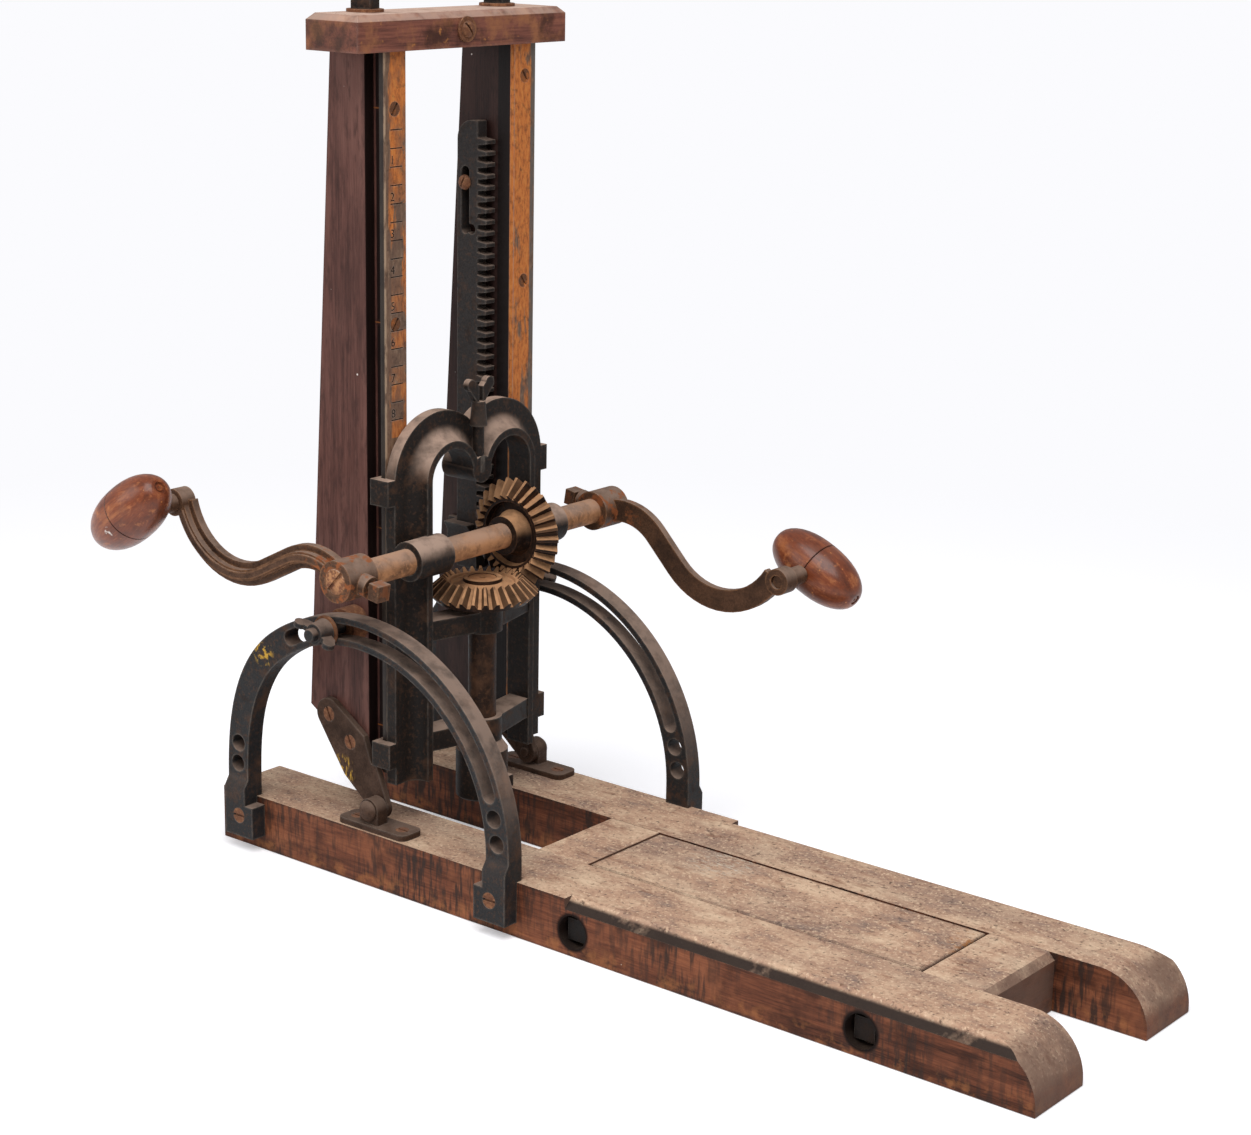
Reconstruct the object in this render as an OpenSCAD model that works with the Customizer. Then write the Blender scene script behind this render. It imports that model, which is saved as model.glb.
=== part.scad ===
// Hand-cranked beam drill: a tilting drill frame hinged to a sled base that the user sits on.
// X runs along the rails towards the seat end, Y across them, Z up from the ground.

/* [Base] */
// Length of the rails
base_len = 711; // [690:1:740]
// Width over both rails
base_w = 200; // [196:1:210]
// Width of one rail
rail_w = 58.5; // [52:0.5:62]
// Height of the rails
rail_h = 41; // [38:1:46]
// Radius of the rounded seat ends of the rails
nose_r = 37; // [20:1:37]
// Width of the chamfer along the outer top edge of each rail
rail_chamfer = 8; // [4:0.5:12]
// Rear end of the rails to the start of that chamfer
chamfer_from_rear = 340; // [330:1:420]

/* [Seat] */
// Rear end of the rails to the front cross rail
front_rail_from_rear = 266.5; // [255:0.5:275]
// Length of the front cross rail along the base
front_rail_len = 45; // [35:1:55]
// Length of the seat panel
panel_len = 277; // [255:1:285]
// Thickness of the seat panel
panel_t = 12; // [9:0.5:14]
// Gap all round the seat panel
panel_gap = 1.5; // [0.8:0.1:2.5]
// Length of the seat-end cross rail
seat_rail_len = 50; // [40:1:60]
// Length of the ledge that carries each end of the panel
ledge_len = 54; // [48:1:62]
// Chamfer on the front edge of the seat-end cross rail
seat_chamfer = 5; // [2:0.5:8]

/* [Cross bolts] */
// Diameter of the cross bolts
bolt_d = 10; // [8:0.5:12]
// Diameter of the counterbores in the rails
counterbore_d = 24; // [22:0.5:28]
// Depth of the counterbores
counterbore_depth = 14; // [11:0.5:18]
// Rear end of the rails to the two cross bolts
bolts_from_rear = [347, 584]; // [340:1:600]

/* [Drill frame] */
// Rear end of the rails to the hinge pins
pivot_from_rear = 148.5; // [144:0.5:153]
// Height of the hinge pins above the rails
pivot_rise = 14.5; // [13.5:0.5:16]
// Hinge pins forward to the face of the guide strips
strip_lead = 3.7; // [2:0.1:5]
// Outside of the rails in to the outer faces of the uprights
upright_inset = 20.8; // [20:0.2:23]
// Thickness of an upright across the machine
upright_t = 22.5; // [21:0.5:24]
// Depth of an upright under the cap, behind its guide strip
upright_top_depth = 46.5; // [40:0.5:55]
// Depth of an upright at its heel
upright_heel_depth = 73.5; // [66:0.5:80]
// Rail top to the underside of the cap
frame_h = 558; // [550:1:600]
// Height of the heel of an upright above the rails
heel_rise = 77; // [72:1:84]
// Height of the toe of an upright above the rails
toe_rise = 38; // [34:1:40]
// Thickness of the guide strips
strip_t = 4.2; // [3.5:0.1:5]
// Width of the rabbet behind each guide strip
rabbet_w = 13.5; // [10:0.5:16]
// Depth of that rabbet across the upright
rabbet_d = 9; // [8:0.5:11]
// Spacing of the guide strip screws
strip_screw_pitch = 149; // [120:1:150]
// Underside of the cap to the first strip screw, near side and far side
strip_screw_drops = [39, 23]; // [18:1:44]
// Length of the cap
cap_len = 215; // [190:1:230]
// Depth of the cap from front to back
cap_depth = 49.5; // [46:0.5:60]
// Thickness of the cap
cap_t = 25; // [20:0.5:30]
// Chamfer round the top of the cap
cap_chamfer = 4.5; // [2:0.5:7]
// Length of the tie rods below the cap
tie_rod_len = 150; // [100:5:200]
// Diameter of the tie rods
tie_rod_d = 9; // [7:0.5:11]

/* [Hinge] */
// Length of a hinge plate
plate_len = 67; // [60:1:76]
// Width of a hinge plate
plate_w = 22; // [20:0.5:24]
// Radius of a hinge plate's corners
plate_corner = 6; // [4:0.5:8]
// How far the middle of a hinge plate lies ahead of its pin
plate_lead = 4; // [0:0.5:6]
// Thickness of a hinge plate
plate_t = 4.5; // [3:0.25:4.75]
// Diameter of the hinge pins
hinge_pin_d = 8; // [6:0.5:9]
// Radius of the hinge eyes and ears
eye_r = 9; // [7.5:0.5:9]
// Thickness of the straps on the uprights
strap_t = 5; // [4:0.25:6]
// Thickness of the ear on a hinge plate
ear_t = 10.5; // [9:0.5:11]

// Radius of the upper end of a strap
strap_top_r = 12; // [10:0.5:13]
// Hinge pin to the middle of that end: back, and up
strap_top_at = [51, 60.5]; // [48:0.5:65]
// Hinge pin to the upper strap screw: back, and up
upper_strap_screw = [50.5, 60.5]; // [48:0.5:65]
// Hinge pin to the lower strap screw: back, and up
lower_strap_screw = [29, 43.5]; // [25:0.5:46]

/* [Screws] */
// Shoe screws: diameter, head diameter, length in the rail
shoe_screw = [6, 12, 28]; // [4:0.5:32]
// Hinge plate screws: diameter, head diameter, length
plate_screw = [5, 10.5, 22]; // [4:0.5:26]
// Strap screws: diameter, head diameter, length in the upright
strap_screw = [5.5, 11.5, 14]; // [4:0.5:18]
// Guide strip screws: diameter, head diameter, length in the upright
strip_screw = [4.5, 10, 14]; // [4:0.5:16]
// Diameter of the washers on the cap
cap_washer_d = 26; // [22:0.5:30]

/* [Quadrants] */
// Radius of the middle of the slot about the hinge pins
arc_r = 137.5; // [134:0.5:140]
// Width of the slotted arc
arc_w = 21; // [19:0.5:24]
// Thickness of the arc
arc_t = 14; // [12:0.5:15]
// How far the arc stands out from the side of its rail
arc_proud = 9; // [7:0.5:10]
// Width of the slot
slot_w = 11.5; // [11:0.25:13]
// Angle of the slot's front end above level
slot_front = 20; // [19:1:30]
// Angle of the slot's rear end above level
slot_rear = 118; // [116:1:130]
// Angles above level of the two holes in each leg of the arc
hole_angles = [5.5, 13]; // [5:0.5:13]
// Diameter of those holes
leg_hole_d = 13; // [11:0.5:14]
// How far the rear leg of the arc comes in towards the hinge pin
rear_leg_in = 15; // [12:0.5:17]
// Thickness of the shoes on the outside of the rails
shoe_t = 13; // [12:0.5:14]
// Extra width of the lower part of a shoe
shoe_step = 8; // [4:0.5:10]
// Height of the shoes' lower edge above the ground
shoe_low = 11; // [8:1:14]
// Angle of the clamp bolts on the slot while the frame stands upright
clamp_angle = 101; // [99:1:103]
// Diameter of the clamp bolts
clamp_d = 10; // [8:0.5:10.5]

/* [Rack] */
// Thickness of the rack
rack_t = 10; // [8:0.5:10.5]
// Width of the plain part of the rack
rack_plain = 20; // [17:0.5:22]
// Depth of the rack's teeth
rack_tooth = 8.7; // [7:0.1:9.5]
// Spacing of the rack's teeth
rack_pitch = 8.35; // [7:0.05:10]
// Length of the rack
rack_len = 338; // [320:1:350]
// Distance from the underside of the cap to the top of the rack
rack_drop = 56; // [50:1:70]
// Width of the slot in the rack
rack_slot_w = 7.5; // [7:0.25:9]
// Travel of the rack up and down on its screw
rack_travel = [-8, 34]; // [-12:1:40]

/* [Carriage] */
// Strip face forward to the spindle
spindle_lead = 21.8; // [21:0.1:23]
// Height of the crank shaft above the rails
shaft_rise = 204; // [202:1:212]
// Height of the centre of the yoke's lobes above the rails
lobe_rise = 256; // [252:1:262]
// Height of the feet of the legs above the rails
leg_rise = 33; // [30:1:36]
// Thickness of the flange that bears on the guide strips
flange_t = 9; // [7:0.5:10]
// Thickness of the web that stands forward from the flange
web_t = 5.5; // [4.5:0.5:7]
// How far the web reaches forward from the strips
web_reach = 21.5; // [19:0.5:24]
// Inner faces of the uprights in to the inner faces of the webs
web_inset = 3.7; // [3:0.1:4.5]
// Radius of the cove between flange and web
cove_r = 11; // [7:0.5:11.5]
// Radius of the crank shaft bosses
shaft_boss_r = 14.5; // [13.5:0.5:16]
// Height of the lugs that hook behind the strips
lug_h = 19; // [14:1:24]
// How far the lugs stand out past the strips
lug_out = 6.8; // [5:0.2:7]
// Rail top to the lower edge of the lower lugs
lug_low_rise = 46; // [44:1:50]
// Lower lugs to upper lugs
lug_spacing = 196; // [180:1:200]
// Thickness of the two arms that carry the spindle
arm_t = 15; // [12:0.5:16]
// Width of those arms
arm_w = 24; // [22:0.5:28]
// Top of the upper spindle arm to the back of the lower gear
gear_lift = 5.65; // [4:0.05:8]
// Rail top to the underside of the lower spindle arm
lower_arm_rise = 55; // [50:1:58]

/* [Gears] */
// Number of teeth on each gear
teeth = 28; // [24:1:30]
// Back of the gears in to the inner faces of the webs
gear_clear = 8.65; // [8:0.05:12]
// Width of the gear face along the teeth
face_w = 16; // [12:0.5:18]
// Share of the tooth pitch that is gap, above one half for backlash
gap_share = 0.575; // [0.56:0.005:0.6]

/* [Spindle] */
// Diameter of the spindle
spindle_d = 21; // [18:0.5:22]
// Diameter of the auger socket
socket_d = 39; // [34:0.5:42]
// Length of the auger socket
socket_len = 44; // [36:1:50]
// Diameter of the hole for the auger's shank
auger_d = 16; // [12:0.5:18]
// Depth of that hole
auger_depth = 36; // [28:1:40]

/* [Crank] */
// Diameter of the crank shaft
shaft_d = 19; // [16:0.5:20]
// Length of the crank shaft
shaft_len = 305; // [303:1:320]
// Crank shaft to handle pin
throw = 170; // [166:1:190]
// Centre of the bow next to the hub: along the arm, and below its line
bow_centre_at = [27, 39]; // [26:1:40]
// Radius of the bow along the middle of the arm
bow_r = 44; // [42:0.5:46]
// Centre of the dip before the handle: back from the handle, and above the arm's line
dip_centre_at = [58, 25]; // [24:1:60]
// Radius of the dip along the middle of the arm
dip_r = 58; // [56:0.5:60]
// Width of the arm's flange
crank_flange_w = 17; // [14:0.5:19]
// Thickness of the arm's flange
crank_flange_t = 6; // [4:0.5:7]
// Width of the rib along the outside of the arm
crank_rib_w = 8; // [6:0.5:9]
// Radius of the arm's hub
hub_r = 15; // [13.5:0.5:17]
// Length of the arm's hub
hub_len = 28; // [24:0.5:28]
// Turn of the crank from level, seat-side arm down
crank_rest = 9.3; // [0:0.1:20]
// Length of a handle
handle_len = 79; // [65:1:90]
// Diameter of a handle
handle_d = 43; // [36:1:46]
// Diameter of the flat ends of a handle
handle_end_d = 11; // [8:0.5:15]
// Diameter of the part of the handle pin that turns in the handle
handle_pin_d = 10; // [8:0.5:12]
// Length of the plain shoulder of the handle pin outside the arm
pin_shoulder = 18; // [12:0.5:22]
// Turn of the near handle from the line of the arm
near_handle_rest = 46; // [0:0.5:60]
// Turn of the far handle from the line of the arm
far_handle_rest = 17.5; // [0:0.5:60]

/* [Fits] */
// Running clearance, measured on the radius
run_fit = 0.05; // [0.03:0.01:0.1]
// Clearance between sliding flat faces
slide_gap = 0.25; // [0.15:0.05:0.4]

/* [Hidden] */
$fn = 64;

// Colours
rail_colour = "#6d4030";
top_wood_colour = "#8a7460";
upright_colour = "#4a3130";
strip_colour = "#8a4f28";
iron_colour = "#35302f";
rust_colour = "#7d5238";
handle_colour = "#7a3b1e";

// Overlap that keeps a cut clear of a face
over = 1;

// Base places
rear_x = -base_len / 2;
nose_x = base_len / 2;
half_w = base_w / 2;
rail_in = half_w - rail_w;
front_rail_x = rear_x + front_rail_from_rear;
panel_x = front_rail_x + front_rail_len + panel_gap;
seat_rail_x = panel_x + panel_len + panel_gap;
ledge_h = rail_h - panel_t;
bolt_z = rail_h * 0.43;
bolt_head_af = 16;
bolt_head_h = 7;
bolt_washer_t = 2;

// Drill frame places
pivot_x = rear_x + pivot_from_rear;
pivot_z = rail_h + pivot_rise;
strip_x = pivot_x + strip_lead;
wood_x = strip_x - strip_t;
out_y = half_w - upright_inset;
in_y = out_y - upright_t;
mid_y = (in_y + out_y) / 2;
frame_top = rail_h + frame_h;
cap_front = strip_x + 4.3;
cap_top = frame_top + cap_t;
heel_z = rail_h + heel_rise;
toe_z = rail_h + toe_rise;
strip_low = toe_z + 2;
tie_x = wood_x - upright_top_depth / 2;

// Hinge places
plate_x = pivot_x + plate_lead;
plate_y = out_y + strap_t + 3;
ear_y = out_y + strap_t + slide_gap;
pin_in_y = out_y - 2;
head_y = ear_y + ear_t;
pin_head_r = 8;
pin_head_t = 5;
plate_screw_x = plate_len / 2 - 11;
strap_top = [pivot_x - strap_top_at[0], pivot_z + strap_top_at[1]];
shoulder_x = pivot_x - 2.5;
strap_screw_places = [for (at = [upper_strap_screw, lower_strap_screw]) [pivot_x - at[0], pivot_z + at[1]]];

// Quadrant places
arc_out = half_w + arc_proud;
arc_in = arc_out - arc_t;
shoe_out = half_w + shoe_t;
ledge_z = pivot_z - 6.5;
leg_in_from = 125;
slot_end_d = slot_w - 0.2;
shoe_screw_z = rail_h * 0.67;
foot_places = [pivot_x - arc_r + rear_leg_in, pivot_x + arc_r];
shoe_screw_x = [foot_places[0] + shoe_step / 2, foot_places[1] - shoe_step / 2];
clamp_x = pivot_x + arc_r * cos(clamp_angle);
clamp_z = pivot_z + arc_r * sin(clamp_angle);
clamp_head_d = 19;
clamp_head_t = 4.5;
collar_r = 13;
clamp_washer_d = 23;
clamp_washer_t = 2;
wing_nut_h = 15;
washer_in = arc_out + slide_gap;
nut_y = washer_in + clamp_washer_t;

// Rack places
rack_y = in_y - slide_gap - rack_t;
rack_tip_x = wood_x - 13.5;
rack_root_x = rack_tip_x - rack_tooth;
rack_back_x = rack_root_x - rack_plain;
rack_top = frame_top - rack_drop;
rack_low = rack_top - rack_len;
rack_screw_d = rack_slot_w - 0.6;
rack_screw_x = rack_back_x + 8;
rack_screw_z = rack_top - 45.5;
keeper_t = 5;
keeper_h = 20;
keeper_z = shaft_rise + rail_h - 24;

// Carriage places
spindle_x = strip_x + spindle_lead;
shaft_z = rail_h + shaft_rise;
lobe_z = rail_h + lobe_rise;
leg_z = rail_h + leg_rise;
flange_x = strip_x + slide_gap;
web_y = in_y - web_inset;
web_front = flange_x + web_reach - slide_gap;
lobe_y = web_y * 31 / 53;
lobe_in_r = web_y - lobe_y;
flange_w = out_y - web_y;
lower_arm_z = rail_h + lower_arm_rise;
spindle_boss_r = spindle_d / 2 + 4.5;
thumb_x = spindle_x - 4.5;
thumb_d = 8;
yoke_boss_r = 10;
yoke_boss_z = lobe_z + 2;

// Gear places: both pitch cones meet where the shaft crosses the spindle
rim_modules = 2.6 * cos(45);
gear_module = (web_y - gear_clear) / (teeth / 2 + rim_modules);
pitch_r = gear_module * teeth / 2;
cone_len = pitch_r / sin(45);
small_scale = 1 - face_w / cone_len;
tip_h = gear_module * cos(45);
root_h = 1.2 * gear_module * cos(45);
rim_h = rim_modules * gear_module;
gear_back = pitch_r + rim_h;
upper_arm_z = shaft_z - gear_back - gear_lift - arm_t;
gear_hub_r = 14.5;
shaft_boss_in = gear_back + 1;
shaft_boss_out = out_y + 0.8;

// Spindle places
socket_top = lower_arm_z - 2.5;
socket_low = socket_top - socket_len;

// Crank places
hub_in_y = shaft_len / 2 - hub_len;
crank_y = hub_in_y + 12;
rib_h = 6;
bow_centre = [bow_centre_at[0], -bow_centre_at[1]];
dip_centre = [throw - dip_centre_at[0], dip_centre_at[1]];
centre_line = dip_centre - bow_centre;
touch_angle = atan2(centre_line[1], centre_line[0]) + acos((bow_r + dip_r) / norm(centre_line));
arm_out_y = crank_y + crank_flange_t + rib_h;
end_boss_r = 10;
handle_in_y = arm_out_y + pin_shoulder;
handle_y = handle_in_y + handle_d / 2;
set_screw_d = 8;
set_head = 12;
set_boss_r = 8;

// General shapes

// Round bar along Y between two places
module bar_y(r, y0, y1) {
    translate([0, y0, 0]) rotate([-90, 0, 0]) cylinder(r = r, h = y1 - y0);
}

// Round bar along X between two places
module bar_x(r, x0, x1) {
    translate([x0, 0, 0]) rotate([0, 90, 0]) cylinder(r = r, h = x1 - x0);
}

// Flat outline in X and Z, given a thickness along Y
module slab_y(y0, y1) {
    translate([0, y1, 0]) rotate([90, 0, 0]) linear_extrude(y1 - y0) children();
}

// Flat outline in Y and Z, given a thickness along X
module slab_x(x0, x1) {
    translate([x0, 0, 0]) rotate([90, 0, 90]) linear_extrude(x1 - x0) children();
}

// The far copy, or its mirror image on the near side
module on_side(side) {
    mirror([0, side < 0 ? 1 : 0, 0]) children();
}

// Far copy and near copy
module both_sides() {
    children();
    mirror([0, 1, 0]) children();
}

// Slotted countersunk screw of [diameter, head diameter, length in the wood], whose head is flush at
// z = 0 and whose shank runs down after it has passed through a plate
module wood_screw(size, through = 0, slot = true, grow = 0) {
    d = size[0];
    head_d = size[1];
    len = through + size[2] + (slot ? 0 : 2);
    head_h = (head_d - d) / 2;
    difference() {
        union() {
            translate([0, 0, -head_h]) cylinder(d1 = d + 2 * grow, d2 = head_d + 2 * grow, h = head_h);
            translate([0, 0, -len]) cylinder(d = d + 2 * grow, h = len - head_h);
            if (!slot) translate([0, 0, -0.001]) cylinder(d = head_d + 2 * grow, h = over);
        }
        if (slot) translate([-head_d, -0.8, -1.4]) cube([2 * head_d, 1.6, 3]);
    }
}

// The hole that such a screw sits in
module wood_screw_hole(size, through = 0) {
    wood_screw(size, through, slot = false, grow = run_fit);
}

// Square nut or head with a hole, standing on z = 0
module square_nut(af, h, hole_r) {
    difference() {
        translate([-af / 2, -af / 2, 0]) cube([af, af, h]);
        translate([0, 0, -over]) cylinder(r = hole_r, h = h + 2 * over);
    }
}

// Points along an arc in a flat outline, from one angle to another
function arc_points(centre, r, from, to, steps) =
    [for (i = [0:steps]) let (a = from + (to - from) * i / steps) centre + r * [cos(a), sin(a)]];

// Plain washer standing on z = 0
module washer(d, hole_r, t) {
    difference() {
        cylinder(d = d, h = t);
        translate([0, 0, -over]) cylinder(r = hole_r, h = t + 2 * over);
    }
}

// Base

module rail_outline() {
    translate([rear_x, 0]) square([base_len - nose_r, rail_h]);
    translate([nose_x - nose_r, 0]) square([nose_r, rail_h - nose_r]);
    intersection() {
        translate([nose_x - nose_r, rail_h - nose_r]) circle(r = nose_r);
        translate([nose_x - nose_r, rail_h - nose_r]) square(nose_r);
    }
}

module rail(side) {
    on_side(side) difference() {
        slab_y(rail_in, half_w) rail_outline();
        translate([rear_x + chamfer_from_rear, half_w, rail_h]) rotate([45, 0, 0])
            translate([0, -rail_chamfer / sqrt(2), -rail_chamfer / sqrt(2)])
                cube([base_len, rail_chamfer * sqrt(2), rail_chamfer * sqrt(2)]);
        for (from_rear = bolts_from_rear) translate([rear_x + from_rear, 0, bolt_z]) {
            bar_y(bolt_d / 2 + run_fit, rail_in - over, half_w + over);
            bar_y(counterbore_d / 2, half_w - counterbore_depth, half_w + over);
        }
        shoe_screw_places() wood_screw_hole(shoe_screw, shoe_t);
        plate_screw_places() wood_screw_hole(plate_screw);
    }
}

module near_rail() { color(rail_colour) rail(-1); }

module far_rail() { color(rail_colour) rail(1); }

// A cross rail with a ledge that carries one end of the seat panel
module front_cross_rail() {
    color(top_wood_colour) difference() {
        union() {
            translate([front_rail_x, -rail_in, 0]) cube([front_rail_len, 2 * rail_in, rail_h]);
            translate([front_rail_x, -rail_in, 0]) cube([front_rail_len + ledge_len, 2 * rail_in, ledge_h]);
        }
        cross_bolt_hole(bolts_from_rear[0]);
    }
}

module seat_panel() {
    color(top_wood_colour) translate([panel_x, panel_gap - rail_in, ledge_h])
        cube([panel_len, 2 * (rail_in - panel_gap), panel_t]);
}

module seat_end_rail() {
    color(top_wood_colour) difference() {
        union() {
            translate([seat_rail_x, -rail_in, 0]) cube([seat_rail_len, 2 * rail_in, rail_h]);
            translate([seat_rail_x - ledge_len, -rail_in, 0])
                cube([seat_rail_len + ledge_len, 2 * rail_in, ledge_h]);
        }
        translate([seat_rail_x + seat_rail_len, 0, rail_h]) rotate([0, 45, 0])
            cube([seat_chamfer * sqrt(2), base_w, seat_chamfer * sqrt(2)], center = true);
        cross_bolt_hole(bolts_from_rear[1]);
    }
}

module cross_bolt_hole(from_rear) {
    translate([rear_x + from_rear, 0, bolt_z]) bar_y(bolt_d / 2 + run_fit, -half_w, half_w);
}

// Seats of the bolt heads and nuts, facing out of each rail
bolt_seat = half_w - counterbore_depth;

module at_bolts() {
    for (from_rear = bolts_from_rear) translate([rear_x + from_rear, 0, bolt_z]) children();
}

module cross_bolts() {
    color(iron_colour) at_bolts() {
        bar_y(bolt_d / 2, -bolt_seat - bolt_washer_t, bolt_seat + bolt_washer_t + bolt_head_h + 2);
        translate([0, -bolt_seat - bolt_washer_t, 0]) rotate([90, 0, 0])
            translate([-bolt_head_af / 2, -bolt_head_af / 2, 0])
                cube([bolt_head_af, bolt_head_af, bolt_head_h]);
    }
}

module cross_nuts() {
    color(iron_colour) at_bolts() translate([0, bolt_seat + bolt_washer_t, 0]) rotate([-90, 0, 0])
        square_nut(bolt_head_af, bolt_head_h, bolt_d / 2 + run_fit);
}

module cross_washers() {
    color(iron_colour) at_bolts() both_sides() translate([0, bolt_seat, 0]) rotate([-90, 0, 0])
        washer(counterbore_d - 2, bolt_d / 2 + run_fit, bolt_washer_t);
}

// Quadrants

// Where the screws of the far shoes go, with z pointing out of the shoe
module shoe_screw_places() {
    for (x = shoe_screw_x) translate([x, shoe_out, shoe_screw_z]) rotate([-90, 0, 0]) children();
}

// One shoe outside the rail, with a sloping top that meets the arc and a step towards the pivot
module shoe(x, step) {
    x0 = x - arc_w / 2;
    slab_x(x0, x0 + arc_w) polygon([[half_w, shoe_low], [shoe_out, shoe_low], [shoe_out, ledge_z],
        [arc_out, pivot_z], [arc_in, pivot_z], [arc_in, rail_h], [half_w, rail_h]]);
    translate([step < 0 ? x0 - shoe_step : x0, half_w, shoe_low])
        cube([arc_w + shoe_step, shoe_t, rail_h - 5 - shoe_low]);
}

// How far the rear leg of the arc has come in at an angle about the hinge pin
function leg_in(a) = a < leg_in_from ? 0 :
    rear_leg_in * (1 - cos(180 * (a - leg_in_from) / (180 - leg_in_from))) / 2;

// A point of the arc, at a radius and an angle about the hinge pin
function on_arc(r, a) = [pivot_x, pivot_z] + (r - leg_in(a)) * [cos(a), sin(a)];

// Hole through the arc at an angle about the hinge pin
module arc_hole(a, d) {
    at = on_arc(arc_r, a);
    translate([at[0], 0, at[1]]) bar_y(d / 2, arc_in - over, arc_out + over);
}

module quadrant(side) {
    outer = [for (a = [0:2.5:180]) on_arc(arc_r + arc_w / 2, a)];
    inner = [for (a = [180:-2.5:0]) on_arc(arc_r - arc_w / 2, a)];
    on_side(side) difference() {
        union() {
            slab_y(arc_in, arc_out) polygon(concat([[foot_places[1] + arc_w / 2, rail_h]], outer,
                [[foot_places[0] - arc_w / 2, rail_h], [foot_places[0] + arc_w / 2, rail_h]], inner,
                [[foot_places[1] - arc_w / 2, rail_h]]));
            shoe(foot_places[0], 1);
            shoe(foot_places[1], -1);
        }
        translate([pivot_x, arc_out + over, pivot_z]) rotate([90, 0, 0]) rotate([0, 0, slot_front])
            rotate_extrude(angle = slot_rear - slot_front, $fn = 128)
                translate([arc_r - slot_w / 2, 0]) square([slot_w, arc_t + 2 * over]);
        for (a = [slot_front, slot_rear]) arc_hole(a, slot_end_d);
        for (a = hole_angles) {
            arc_hole(a, leg_hole_d);
            arc_hole(180 - a, leg_hole_d);
        }
        shoe_screw_places() wood_screw_hole(shoe_screw, shoe_t);
    }
}

module near_quadrant() { color(iron_colour) quadrant(-1); }

module far_quadrant() { color(iron_colour) quadrant(1); }

module quadrant_screws() {
    color(rust_colour) both_sides() shoe_screw_places() wood_screw(shoe_screw, shoe_t);
}

// Hinges

module plate_screw_places() {
    for (dx = [-plate_screw_x, plate_screw_x]) translate([plate_x + dx, plate_y, rail_h + plate_t])
        children();
}

module hinge_plate(side) {
    end_x = plate_len / 2 - plate_corner;
    end_y = plate_w / 2 - plate_corner;
    on_side(side) difference() {
        union() {
            translate([plate_x, plate_y, rail_h]) {
                for (dx = [-end_x, end_x], dy = [-end_y, end_y]) translate([dx, dy, 0])
                    cylinder(r = plate_corner, h = plate_t);
                translate([-end_x, -plate_w / 2, 0]) cube([2 * end_x, plate_w, plate_t]);
                translate([-plate_len / 2, -end_y, 0]) cube([plate_len, 2 * end_y, plate_t]);
            }
            translate([pivot_x, 0, pivot_z]) bar_y(eye_r, ear_y, head_y);
            translate([pivot_x - eye_r, ear_y, rail_h]) cube([2 * eye_r, ear_t, pivot_rise]);
        }
        translate([pivot_x, 0, pivot_z]) bar_y(hinge_pin_d / 2 + run_fit, ear_y - over, head_y + over);
        plate_screw_places() wood_screw_hole(plate_screw);
    }
}

module near_hinge_plate() { color(rust_colour) hinge_plate(-1); }

module far_hinge_plate() { color(rust_colour) hinge_plate(1); }

module hinge_plate_screws() {
    color(rust_colour) both_sides() plate_screw_places() wood_screw(plate_screw);
}

module hinge_pins() {
    color(rust_colour) both_sides() translate([pivot_x, 0, pivot_z]) {
        bar_y(hinge_pin_d / 2, pin_in_y, head_y);
        translate([0, head_y, 0]) rotate([-90, 0, 0]) rotate_extrude()
            polygon(concat([[0, 0]], [for (a = [0:10:90]) [pin_head_r * cos(a), pin_head_t * sin(a)]]));
    }
}

// Strap that carries an upright: broad along the slanted foot, narrow round the eye,
// with a shoulder on which the carriage's lower lug comes to rest
module strap(side) {
    shoulder_z = rail_h + lug_low_rise;
    on_side(side) difference() {
        union() {
            slab_y(out_y, out_y + strap_t) polygon([
                [strap_top[0] + 0.58 * strap_top_r, strap_top[1] + 0.81 * strap_top_r],
                [pivot_x - 15, pivot_z + 51],
                [shoulder_x - 5, shoulder_z], [shoulder_x, shoulder_z], [pivot_x + eye_r * 0.92, pivot_z + 3],
                [pivot_x - 3, pivot_z - eye_r * 0.94], [pivot_x - 35, pivot_z + 17],
                [strap_top[0] - 0.8 * strap_top_r, strap_top[1] - 0.6 * strap_top_r]]);
            translate([strap_top[0], 0, strap_top[1]]) bar_y(strap_top_r, out_y, out_y + strap_t);
            translate([pivot_x, 0, pivot_z]) bar_y(eye_r, out_y, out_y + strap_t);
        }
        translate([pivot_x, 0, pivot_z]) bar_y(hinge_pin_d / 2 + run_fit, out_y - over, ear_y);
        at_strap_screws() wood_screw_hole(strap_screw, strap_t);
    }
}

// Where the screws of the far strap go, with z pointing out of the strap
module at_strap_screws() {
    for (p = strap_screw_places) translate([p[0], out_y + strap_t, p[1]]) rotate([-90, 0, 0]) children();
}

module near_strap() { color(iron_colour) strap(-1); }

module far_strap() { color(iron_colour) strap(1); }

module strap_screws() {
    color(rust_colour) both_sides() at_strap_screws() rotate([0, 0, 65]) wood_screw(strap_screw, strap_t);
}

// Drill frame

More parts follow.
